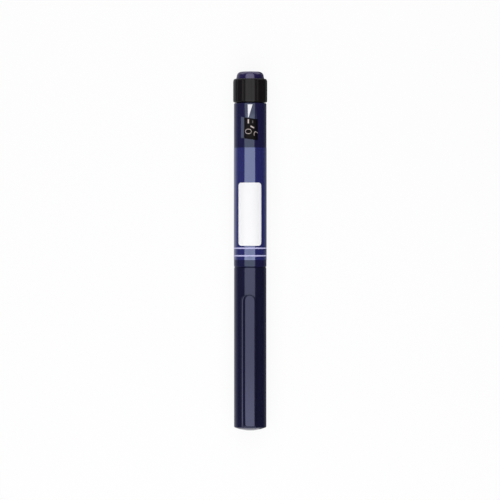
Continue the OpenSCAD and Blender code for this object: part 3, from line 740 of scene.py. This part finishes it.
def bare_material(name):
    """A material without nodes, and its tree."""
    material = bpy.data.materials.new(name)
    material.use_nodes = True
    material.node_tree.nodes.clear()
    return material, material.node_tree


# Operators

class PEN_OT_stage(Operator):
    """Make the floor, the soft light and the camera"""
    bl_idname = "insulin_pen.stage"
    bl_label = "Studio"

    def execute(self, context):
        studio = context.scene.pen_studio
        self.floor(studio)
        self.light(studio)
        self.world(context)
        self.camera(context, studio)
        return {"FINISHED"}

    def floor(self, studio):
        """A floor that is lit like any other, but looks white apart from a share of the shading."""
        half = 3.0
        corners = [(x, y, 0) for x, y in rectangle(-half, -half, half, half)]
        floor = from_faces("floor", corners, [(0, 1, 2, 3)])
        material, tree = bare_material("pale floor")
        path = add(tree, "ShaderNodeLightPath").outputs
        rays = [Value(tree, path[f"Is {ray} Ray"]) for ray in ("Camera", "Glossy", "Transmission")]
        seen = rays[0].math("MAXIMUM", rays[1]).math("MAXIMUM", rays[2])
        matt = get(tree, "ShaderNodeBsdfDiffuse", {"Color": linear(studio.floor)})
        mixed = get(tree, "ShaderNodeMixShader", {
            0: seen * (1 - studio.shadow_share), 1: matt, 2: self.glow(tree, (1, 1, 1))})
        add(tree, "ShaderNodeOutputMaterial", {0: mixed})
        floor.data.materials.append(material)

    def glow(self, tree, colour):
        """An even glow of this linear colour."""
        return get(tree, "ShaderNodeEmission", {"Color": (*colour, 1), "Strength": 1.0})

    def light(self, studio):
        """Two soft boxes end to end overhead, a little to the picture's left, and a dim card on each side.

        The box over the cap's closed end is the brighter. The cards are seen only in reflections: they keep
        the flanks dark between highlight and rim."""
        left, right = radians(40), radians(34)
        height = studio.lamp_height - AXIS_Z
        width, reach, meeting = height * (tan(left) + tan(right)), 0.9, -0.075
        boxes = (("soft_box", meeting, reach, 1.0), ("soft_box_end", -reach, meeting, 1.4))
        for name, start, stop, share in boxes:
            data = bpy.data.lights.new(name, "AREA")
            data.shape = "RECTANGLE"
            data.size, data.size_y = stop - start, width
            data.energy = studio.lamp_level * share * pi * width * data.size
            lamp = link(name, data)
            lamp.location = ((start + stop) / 2, height * (tan(left) - tan(right)) / 2,
                             studio.lamp_height)
            lamp.visible_camera = False
        self.card("card_left", 1, ((0.5, 0.5, 0.53), (0.28, 0.28, 0.36), (0.07, 0.07, 0.12)))
        self.card("card_right", -1, ((0.16, 0.17, 0.18), (0.05, 0.05, 0.06), (0.02, 0.02, 0.03)))

    def card(self, name, side, levels):
        """A card beside the pen, seen only in reflections: it lies by the pen and stands up further off.

        The levels are for the part that lies, the foot of the part that stands, and the rest of it."""
        near, gap, fold, top, half, floor_gap = 5 * MM, 24 * MM, 8 * MM, 40 * MM, 95 * MM, 0.4 * MM
        path = [(side * near, floor_gap), (side * gap, floor_gap), (side * gap, fold), (side * gap, top)]
        verts = [(x, y, z) for y, z in path for x in (-half, half)]
        mesh = bpy.data.meshes.new(name)
        mesh.from_pydata(verts, [], [(0, 1, 3, 2), (2, 3, 5, 4), (4, 5, 7, 6)])
        for i, level in enumerate(levels):
            material, tree = bare_material(f"{name} {i}")
            add(tree, "ShaderNodeOutputMaterial", {0: self.glow(tree, level)})
            mesh.materials.append(material)
            mesh.polygons[i].material_index = i
        card = link(name, mesh)
        for ray in ("camera", "diffuse", "transmission", "shadow"):
            setattr(card, f"visible_{ray}", False)

    def world(self, context):
        """White near the horizon, and dim above it, by direction alone."""
        world = bpy.data.worlds.new("studio")
        world.use_nodes = True
        tree = world.node_tree
        upward = parts(get(tree, "ShaderNodeTexCoord", output="Generated"))[2]
        level = get(tree, "ShaderNodeMapRange", {
            "Value": upward, "From Min": 0.12, "From Max": 0.3, "To Min": 1.0, "To Max": 0.07})
        tree.links.new(level.socket, tree.nodes["Background"].inputs["Color"])
        context.scene.world = world

    def camera(self, context, studio):
        """A camera straight above the pen, with the dose end up in the picture and the photo's framing."""
        view_width, photo_offset = 225.8 * MM, Vector((0.5 * MM, 0.09 * MM, 0))
        data = bpy.data.cameras.new("camera")
        data.lens = data.sensor_width * studio.camera_distance / view_width
        data.clip_start, data.clip_end = 0.05, 20
        camera = link("camera", data)
        camera.location = Vector((0, 0, AXIS_Z + studio.camera_distance)) + photo_offset
        camera.rotation_euler = (0, 0, -pi / 2)
        context.scene.camera = camera
        context.scene.view_settings.view_transform = "Standard"


class PEN_OT_cap(Operator):
    """Make the cap with its domed end and its clip"""
    bl_idname = "insulin_pen.cap"
    bl_label = "Cap and Clip"

    wall, end_wall, edge, dome, mouth_bevel = 0.7, 1.2, 0.7, 1.28, 0.35
    clip_root, clip_reach = 9, 61.4
    sunk = CAP_R - 0.45

    def execute(self, context):
        bore = CAP_R - self.wall
        flat = CAP_R - self.edge
        ball = (flat ** 2 + self.dome ** 2) / (2 * self.dome)
        half = degrees(asin(flat / ball))
        dome = arc(ball, 0, ball, 180, 180 - half, 16)
        edge = arc(self.dome + self.edge, flat, self.edge, 180 - half * 0.6, 90, 10)
        inside = filleted([
            (CAP_MOUTH - self.mouth_bevel, CAP_R, 0.12), (CAP_MOUTH, CAP_R - self.mouth_bevel, 0.1),
            (CAP_MOUTH, bore, 0.12), (CAP_MOUTH - 3.0, bore, 0.1), (CAP_MOUTH - 3.3, bore + 0.15, 0.1),
            (CAP_MOUTH - 4.7, bore + 0.15, 0.1), (CAP_MOUTH - 5.0, bore, 0.1),
            (self.end_wall + self.edge, bore, 0.3), (self.end_wall, bore - self.edge, 0.3),
            (self.end_wall, 0, 0)], 4)
        body = turned("pen_cap", dome + edge[1:] + inside, finishes["dark_blue_cap"], closed=False)
        combine(body, self.clip(), "UNION")
        soften(body, 0.12 * MM, 50)
        dress(body, "cap", "dark_blue_cap", "cap")
        return {"FINISHED"}

    def clip(self):
        """The clip: a tongue that leaves the closed end in a bend, with a crowned top and a padded tip."""
        width, out, foot, root_depth, thinnest = 6.5, 9.5, 1.1, 2.6, 0.04
        tip_round, tip_slope, tip_drop = 2.73, 1.9, 1.25
        root, reach = self.clip_root, self.clip_reach
        places = [root - (root - foot) * cos(radians(90 * k / 14)) for k in range(15)]
        places += [root + (reach - tip_round - root) * k / 40 for k in range(1, 41)]
        places += [reach - tip_round + tip_round * sin(radians(87 * k / 18)) for k in range(1, 19)]
        rings = []
        for s in places:
            share = clamped((root - s) / (root - foot))
            top = CAP_R - 0.7 + (out - CAP_R + 0.7) * sqrt(max(0.0, 1 - share ** 2)) if share else out
            top -= tip_drop * (1 - sqrt(1 - clamped((s - reach + tip_slope) / tip_slope) ** 2))
            beyond = max(0.0, s - (reach - tip_round))
            half = width / 2 - tip_round + sqrt(tip_round ** 2 - beyond ** 2)
            low = self.underside(s) if s > root else self.sunk - root_depth * share
            rings.append([self.placed(s, y, max(x, low + thinnest)) for y, x in self.section(half, top, low)])
        return block("clip", rings, finishes["dark_blue_cap"])

    def section(self, half, top, low):
        """The clip cut across: a crowned face with a rounded right edge, and a bead along its left edge."""
        crown_r, foot_r, full_half = 8.0, 0.2, 1.6
        scale = min(1.0, half / full_half)
        bead_r, bead_lift, right_r = 0.6 * scale, 0.12 * scale, 0.7 * scale
        valley_off, valley_depth, valley_run = 0.18 * scale, 0.2 * scale, 0.35 * scale

        def crown(y):
            return top - crown_r + sqrt(crown_r ** 2 - y ** 2)

        bead_y = bead_r - half
        bead_x = crown(bead_y) - bead_r + bead_lift
        valley_y = bead_y + bead_r + valley_off
        face_start, face_end = valley_y + valley_run, half - right_r
        points = arc(bead_y, bead_x, bead_r, 180, 20, 8)
        points.append((valley_y, crown(valley_y) - valley_depth))
        face = [face_start + (face_end - face_start) * k / 16 for k in range(17)]
        points += [(y, crown(y)) for y in face]
        tilt = asin(face_end / crown_r)
        middle_y = face_end - right_r * sin(tilt) * 0.5
        for a in (radians(90 - 15 * k) for k in range(1, 7)):
            points.append((middle_y + (half - middle_y) * cos(a),
                           crown(face_end) - right_r + right_r * sin(a)))
        points += [(half, low + foot_r), (half - foot_r, low), (foot_r - half, low), (-half, low + foot_r)]
        return points

    def underside(self, s):
        """The clip's lower face, raised at the tip and with a pad that grips cloth."""
        under, lead, lead_rise, pad, pad_len, root_run = 8.2, 2.5, 0.5, 0.6, 4, 1.3
        rise = lead_rise * max(0.0, s - (self.clip_reach - lead)) / lead
        middle = self.clip_reach - lead - pad_len / 2
        bump = pad * cos(pi / 2 * min(1.0, abs(s - middle) / (pad_len / 2 + pad))) ** 0.7
        joined = clamped((s - self.clip_root) / root_run)
        return self.sunk * (1 - joined) + (under + rise - bump) * joined

    def placed(self, s, y, x):
        """A point of the clip, turned with the cap on the pen."""
        up, right = rotated(x, y, CLIP_TURN)
        return at_place(s, right, up)


class PEN_OT_housing(Operator):
    """Make the housing with its dose window, its pointer ramp and its inner thread rib"""
    bl_idname = "insulin_pen.housing"
    bl_label = "Housing"

    def execute(self, context):
        finish = finishes["dark_blue_housing"]
        bevel, snap_depth = 0.35, 0.15
        shell = turned("pen_housing", filleted([
            (HOUSING_START, HOUSING_R - bevel, 0.1), (HOUSING_START + bevel, HOUSING_R, 0.12),
            (HOUSING_END, HOUSING_R, REAR_EDGE_R), (HOUSING_END, REAR_BORE_R, 0.08),
            (RATCHET_END, REAR_BORE_R, 0), (RATCHET_END, FRONT_BORE_R, 0),
            (HOLDER_END - 1.8, FRONT_BORE_R, 0), (HOLDER_END - 2.5, FRONT_BORE_R + snap_depth, 0),
            (HOLDER_END - 3.2, FRONT_BORE_R, 0), (HOUSING_START, FRONT_BORE_R, 0.08)], 8), finish)
        combine(shell, self.window_tool(), "DIFFERENCE")
        combine(shell, self.ramp_tool(), "DIFFERENCE")
        soften(shell, 0.07 * MM, 42)
        dress(join(shell, self.rib(finish)), "housing", "dark_blue_housing", "housing")
        return {"FINISHED"}

    def window_tool(self):
        """The window: slanted above and below, and opened out on its left by a sloping wall."""
        bottom, high, thinned = WINDOW_TOP - WINDOW_H, HOUSING_R + 1, 0.1
        edge = [(-WINDOW_LEFT, bottom), (WINDOW_RIGHT, bottom - WINDOW_DROP),
                (WINDOW_RIGHT, WINDOW_TOP - WINDOW_DROP), (-WINDOW_LEFT, WINDOW_TOP)]
        tool = block("window", [[at_place(s, y, h) for y, s in edge] for h in (0, high)])
        inner = WINDOW_BEVEL - WINDOW_LEFT
        outer_h = HOUSING_R * cos(asin(WINDOW_LEFT / HOUSING_R))
        inner_h = sqrt(REAR_BORE_R ** 2 - inner ** 2) - thinned
        section = [(inner, -1), (inner, inner_h), (-WINDOW_LEFT, outer_h), (-WINDOW_LEFT, high + 1),
                   (WINDOW_RIGHT, high + 1), (WINDOW_RIGHT, -1)]
        sides = block("sides", [[at_place(s, y, h) for y, h in section]
                                for s in (bottom - 3, WINDOW_TOP + 3)])
        return combine(tool, sides, "INTERSECT")

    def ramp_tool(self):
        """The shallow ramp from the rear end down to the window."""
        columns = 15
        rings = []
        for s in (RAMP_END - 0.5, RAMP_END, RAMP_START):
            reach = ramp_radius(max(s, RAMP_END))
            ys = [RAMP_W * (k / (columns - 1) - 0.5) for k in range(columns)]
            ring = [at_place(s, y, sqrt(reach ** 2 - y ** 2)) for y in ys]
            rings.append(ring + [at_place(s, y, HOUSING_R + 1) for y in (ys[-1], ys[0])])
        return block("ramp", rings)

    def rib(self, finish):
        """The helical rib inside, which runs in the drum's groove."""
        first, sweep = 30, 200
        groove = HOUSING_END - 10.9 - 1.5 * DRUM_LEAD
        return coil("rib", groove - DRUM_LEAD * first / 360, finish, start_angle=radians(first),
                    coil_radius=(DRUM_R + 0.02) * MM, lead=DRUM_LEAD * MM, turns=sweep / 360, left_hand=True,
                    bar_radius=0.36 * MM, bar_sides=8, steps=96, taper_share=0.04)


def ramp_radius(s):
    """The pointer ramp's distance from the axis at a place along the pen."""
    slope = RAMP_DEPTH * (RAMP_START - s) / (RAMP_START - RAMP_END)
    return HOUSING_R - max(0.0, slope)


class PEN_OT_print(Operator):
    """Make the label with its overlap, its bare white panel and its pale lines, and the pointer"""
    bl_idname = "insulin_pen.print"
    bl_label = "Label and Pointer"

    def execute(self, context):
        sizes = context.scene.pen_print
        dress(self.label(), "housing", "printed_label", "label")
        dress(self.panel(sizes), "housing", "printed_label")
        low, high = LABEL_R - 0.02, LABEL_R + sizes.print_height / MM
        half = sizes.line_width / MM / 2
        for name, place in (("label_line_front", 78.9), ("label_line_rear", 82.3)):
            ring = turned(name, [(place - half, low), (place - half, high), (place + half, high),
                                 (place + half, low)], finishes["line"])
            dress(ring, "housing", "printed_label")
        dress(self.pointer(sizes), "housing", "dark_blue_housing")
        return {"FINISHED"}

    def label(self):
        """A film wound once round the housing, whose end laps over its start at the back."""
        film, lap, edge, steps = LABEL_R - HOUSING_R, radians(14), 0.15, 200
        places = [LABEL_START, LABEL_START + edge, LABEL_END - edge, LABEL_END]
        rings = []
        for k in range(steps + 1):
            turn = pi - lap + (2 * pi + lap) * k / steps
            lift = film * clamped((turn - 3 * pi + 2.2 * lap) / lap)
            low = HOUSING_R + 0.002 + lift
            tops = [low + film * share for share in (0.5, 0.97, 0.97, 0.5)]
            rings.append([at_angle(along(s), low * MM, turn) for s in places]
                         + [at_angle(along(s), high * MM, turn) for s, high in zip(reversed(places), tops)])
        return block("printed_label", rings, finishes["printed_label"])

    def panel(self, sizes):
        """The white panel, a rounded rectangle laid on the label."""
        reach = (LABEL_R + PRINT_LIFT) * MM
        half_y = sizes.panel_angle / 2 * reach
        middle_y = -sizes.panel_turn * reach
        start, stop = CAP_END + sizes.panel_start, CAP_END + sizes.panel_start + sizes.panel_length
        corners = rectangle(start, -half_y, stop, half_y)
        outline = filleted([(x, middle_y + y, sizes.panel_corner) for x, y in corners], 10)
        return wrapped("label_panel", outline, sizes.print_height, lambda x: reach, finishes["panel"])

    def pointer(self, sizes):
        """The white wedge on the ramp, which points at the dose."""
        tip, base = along(141.2), along(146.95)
        outline = [(tip, 0.72 * MM), (base, -1.05 * MM), (base, 1.1 * MM), (tip, 1.0 * MM)]

        def reach_at(x):
            place = (x - CAP_END) / MM
            over = max(0.0, place - (HOUSING_END - REAR_EDGE_R))
            rounded = HOUSING_R - REAR_EDGE_R + sqrt(REAR_EDGE_R ** 2 - over ** 2)
            return (min(ramp_radius(place), rounded) + PRINT_LIFT) * MM

        outline = self.sliced(outline)
        return wrapped("dose_pointer", outline, sizes.print_height, reach_at, finishes["pointer"])

    def sliced(self, outline):
        """The outline with extra points along its long sides, so that it follows the ramp's curve."""
        steps = 12
        points = []
        for i, (x, y) in enumerate(outline):
            x2, y2 = outline[(i + 1) % len(outline)]
            points += [(x + (x2 - x) * k / steps, y + (y2 - y) * k / steps) for k in range(steps)]
        return points


class PEN_OT_holder(Operator):
    """Make the cartridge holder with its needle thread, and dress the cartridge inside it"""
    bl_idname = "insulin_pen.holder"
    bl_label = "Holder and Cartridge"

    def execute(self, context):
        finish = finishes["clear_holder"]
        outer, bore, mouth, thread = 6.5, 5.9, 3.0, 4.35
        thread_end, sizes = HOLDER_TIP + 7, context.scene.pen_print
        crimp_bore = radius("crimp_cap") + 0.1
        holder = turned("pen_cartridge_holder", filleted([
            (HOLDER_TIP, thread, 0.3), (thread_end, thread, 0.25), (14.71, outer, 0.5),
            (69.0, outer, 0), (69.8, outer + 0.05, 0), (70.6, outer, 0),
            (78.7, outer, 0), (79.3, outer + 0.1, 0), (79.9, outer, 0),
            (HOLDER_END, outer, 0.1), (HOLDER_END, bore, 0.1), (15.01, bore, 0.5),
            (thread_end + 0.6, crimp_bore, 0.25), (HOLDER_TIP + 0.5, crimp_bore, 0.1),
            (HOLDER_TIP + 0.5, mouth, 0.1), (HOLDER_TIP, mouth, 0.1)], 5), finish)
        ridge = coil("ridge", HOLDER_TIP + 0.5, finish, coil_radius=(thread - 0.02) * MM,
                     lead=sizes.needle_pitch, turns=6.2 * MM / sizes.needle_pitch, bar_radius=0.36 * MM,
                     bar_sides=6, steps=64, taper_share=0.05)
        combine(holder, ridge, "UNION")
        dress(holder, "housing", "clear_holder", "cartridge_holder")
        spacing, thick = 6.2, 0.3
        marks = (("residual_marks", 5.4, 22.0, 7), ("residual_half_marks", 2.7, 25.1, 6))
        for name, width, first, count in marks:
            mark = repeated_mark(name, outer, 0.0, width, first, thick, 0.0, sizes, "holder_mark",
                                 count=count, angle_step=0.0, place_step=spacing * MM)
            dress(mark, "housing", "clear_holder")
        dress_nodes("cartridge_glass", "cartridge_seal", "crimp_cap", "plunger", "rod_foot")
        return {"FINISHED"}


class PEN_OT_drive(Operator):
    """Make the threaded piston rod and the spring, and dress the rest of the drive"""
    bl_idname = "insulin_pen.drive"
    bl_label = "Drive"

    def execute(self, context):
        sizes = context.scene.pen_print
        dress(self.rod(sizes), "piston_rod", "white_plastic", "piston_rod")
        spring = self.spring()
        dress(spring, "carriage", "spring_steel", "clutch_spring")
        along(SPRING_START)
        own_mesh(spring)
        dress_nodes("rod_nut", "ratchet_ring", "driver", "bushing", "limit_nut", "click_ring")
        return {"FINISHED"}

    def rod(self, sizes):
        """The rod: a threaded round bar with two flats, and a plain pivot at its front."""
        core, crest, flat, pivot, shank, overlap, plain = 1.75, 2.1, 1.5, 1.4, 69.2, 0.1, 0.6
        finish = finishes["white_plastic"]
        bar = turned("threaded_rod", filleted([
            (shank, 0, 0), (shank, core, 0.1), (ROD_END, core, 0.3), (ROD_END, 0, 0)], 4), finish,
            closed=False, sides=48)
        length = (ROD_END - shank - 2 * plain) * MM
        ridge = coil("ridge", shank + plain, finish, coil_radius=(core - overlap) * MM, lead=sizes.rod_pitch,
                     turns=length / sizes.rod_pitch, bar_radius=(crest - core + overlap) * MM, bar_sides=8,
                     steps=24, taper_share=0.01)
        combine(bar, ridge, "UNION")
        corners = rectangle(flat, -crest - 1, -flat, crest + 1)
        slab = block("slab", [[at_place(s, y, h) for y, h in corners] for s in (shank - 1, ROD_END + 1)])
        combine(bar, slab, "INTERSECT")
        tip = turned("pivot", filleted([
            (ROD_START, 0, 0), (ROD_START, pivot, 0.25), (shank + overlap, pivot, 0),
            (shank + overlap, 0, 0)], 4), finish, closed=False, sides=48)
        return combine(bar, tip, "UNION")

    def spring(self):
        """The clutch spring, one round wire from the ledge up to the click ring."""
        wire_r, curls = 0.2, 4
        rise = SPRING_END - SPRING_START - 2 * wire_r
        return coil("coil_spring", SPRING_START + wire_r, finishes["spring_steel"],
                    coil_radius=(radius("clutch_spring") - wire_r) * MM, lead=rise / curls * MM,
                    turns=float(curls), left_hand=True, bar_radius=wire_r * MM, bar_sides=12, steps=48,
                    taper_share=0.004)


class PEN_OT_dial(Operator):
    """Make the fluted knob and the dose scale's marks and numbers, and dress the drum"""
    bl_idname = "insulin_pen.dial"
    bl_label = "Knob and Dose Scale"

    def execute(self, context):
        sizes = context.scene.pen_print
        dress(self.knob(sizes), "dial", "black_knob", "dose_knob")
        dress_nodes("scale_drum")
        tick = sizes.tick_length / MM
        marks = (
            ("scale_zero_tick", 0.0, 0.56, 138.45, tick, 0.0, 1, "mark"),
            ("scale_unit_ticks", 18.0, 0.36, 138.6, tick * 0.6, 0.0, 30, "faint_mark"),
            ("scale_unit_dashes", 16.5, 1.8, 136.55, 0.5, -30.0, 30, "mark"),
        )
        for name, turn, width, place, length, slant, count, finish in marks:
            mark = repeated_mark(name, DRUM_R, SCALE_TURN + radians(turn), width, place, length, slant,
                                 sizes, finish, count=count,
                                 angle_step=2 * pi / UNITS_PER_TURN * SCALE_EVERY,
                                 place_step=-DRUM_LEAD * MM / UNITS_PER_TURN * SCALE_EVERY)
            dress(mark, "dial", "black_drum")
        for number in range(0, MAX_DOSE + 1, SCALE_EVERY):
            dress(self.numeral(number, sizes), "dial", "black_drum")
        return {"FINISHED"}

    def knob(self, sizes):
        """The knob: fluted outside, with a socket for the drum and a recess for the button."""
        web, web_top, recess, hole, socket = DRUM_END, DRUM_END + 1.2, KNOB_R - 1.1, 4.1, DRUM_R + 0.03
        bevel, crown, lip, lip_len = 0.75, 1.5, 0.6, 0.9
        lower, upper = ([radians(90 * k / steps) for k in range(steps + 1)] for steps in (5, 8))
        outer = [(KNOB_START + lip_len * (1 - cos(a)), KNOB_R - lip * (1 - sin(a))) for a in lower]
        outer += [(KNOB_END - crown * (1 - sin(a)), KNOB_R - bevel * (1 - cos(a))) for a in upper]
        inner = filleted([(KNOB_END, recess, 0.15), (web_top, recess, 0.1), (web_top, hole, 0.1),
                          (web, hole, 0.1), (web, socket, 0.1), (KNOB_START, socket, 0.1)], 3)
        fluted = [0.0, 0.2, 0.4, 0.7, 0.9, 1.0] + [1.0] * 7 + [0.7, 0.3] + [0.0] * len(inner)
        return turned("fluted_knob", outer + inner, finishes["black_knob"], fluted=fluted, sides=336,
                      flutes=sizes.flutes, flute_depth=sizes.flute_depth)

    def numeral(self, number, sizes):
        """A number that reads along the pen, wrapped on the drum."""
        two_digits, right_edge = 1.7, 136.0
        text = bpy.data.curves.new("numeral", "FONT")
        text.body = str(number)
        text.resolution_u = 4
        text.offset = -0.03
        drawn = link("numeral", text)
        flat = shown(drawn)
        bpy.data.objects.remove(drawn)
        bm = bmesh.new()
        bm.from_mesh(flat)
        bmesh.ops.remove_doubles(bm, verts=bm.verts, dist=1e-5)
        xs, ys = [v.co.x for v in bm.verts], [v.co.y for v in bm.verts]
        long = sizes.numeral_width * (1 if number < 10 else two_digits)
        width = long / (max(xs) - min(xs))
        height = sizes.numeral_height / (max(ys) - min(ys))
        reach = (DRUM_R + PRINT_LIFT) * MM
        turn = SCALE_TURN + 2 * pi * number / UNITS_PER_TURN
        start = along(right_edge) - long - DRUM_LEAD * MM * number / UNITS_PER_TURN
        middle = (max(ys) + min(ys)) / 2
        for v in bm.verts:
            v.co = ((v.co.x - min(xs)) * width + start, (v.co.y - middle) * height, 0)
        wrap(bm, sizes.print_height, lambda x: reach)
        for v in bm.verts:
            y, up = rotated(v.co.y, v.co.z - AXIS_Z, turn)
            v.co.y, v.co.z = y, AXIS_Z + up
        return from_bmesh(f"scale_number_{number:02d}", bm, finishes["mark"])


class PEN_OT_button(Operator):
    """Make the push button with its skirt and stem"""
    bl_idname = "insulin_pen.button"
    bl_label = "Push Button"

    def execute(self, context):
        skirt, wall, rounding, lean, web, stem = KNOB_R - 1.3, 1.1, 2.2, 0.3, DRUM_END - 0.1, 2.8
        skirt_start, hollow = KNOB_END - 2.4, PEN_LEN - 1.1
        top = skirt - lean - rounding
        outline = [(PEN_LEN, 0), (PEN_LEN, top * 0.5)]
        outline += arc(PEN_LEN - rounding, top, rounding, 0, 90, 14)
        outline += filleted([
            (PEN_LEN - rounding - 0.01, top + rounding, 0), (KNOB_END, skirt, 0.1),
            (skirt_start, skirt, 0.15), (skirt_start, skirt - wall, 0.1),
            (PEN_LEN - rounding, skirt - wall, 0.2), (hollow, 3.9, 0.2),
            (web, 3.85, 0.15), (web, stem, 0), (BUTTON_STEM, stem, 0.3)], 5)
        outline.append((BUTTON_STEM, 0))
        button = turned("domed_button", outline, finishes["indigo_button"], closed=False)
        dress(button, "button", "indigo_button", "push_button")
        return {"FINISHED"}


OPERATORS = (PEN_OT_stage, PEN_OT_cap, PEN_OT_housing, PEN_OT_print, PEN_OT_holder, PEN_OT_drive, PEN_OT_dial,
             PEN_OT_button)


class PEN_PT_panel(Panel):
    """Lists the pen's operators, colours and sizes"""
    bl_label = "Insulin Pen"
    bl_idname = "PEN_PT_panel"
    bl_space_type = "VIEW_3D"
    bl_region_type = "UI"
    bl_category = "Insulin Pen"

    def draw(self, context):
        column = self.layout.column(align=True)
        for operator in OPERATORS:
            column.operator(operator.bl_idname)
        for settings in (context.scene.pen_colours, context.scene.pen_print, context.scene.pen_studio):
            box = self.layout.box()
            for name in settings.bl_rna.properties.keys():
                if name not in ("rna_type", "name"):
                    box.prop(settings, name)


CLASSES = (PenColours, PenPrint, PenStudio, *OPERATORS, PEN_PT_panel)


def register():
    for cls in CLASSES:
        bpy.utils.register_class(cls)
    bpy.types.Scene.pen_colours = PointerProperty(type=PenColours)
    bpy.types.Scene.pen_print = PointerProperty(type=PenPrint)
    bpy.types.Scene.pen_studio = PointerProperty(type=PenStudio)


def unregister():
    del bpy.types.Scene.pen_studio
    del bpy.types.Scene.pen_print
    del bpy.types.Scene.pen_colours
    for cls in reversed(CLASSES):
        bpy.utils.unregister_class(cls)


def main():
    register()
    make_finishes(bpy.context.scene.pen_colours)
    for operator in OPERATORS:
        group, name = operator.bl_idname.split(".")
        getattr(getattr(bpy.ops, group), name)()
    bpy.context.view_layer.update()


if __name__ == "__main__":
    main()
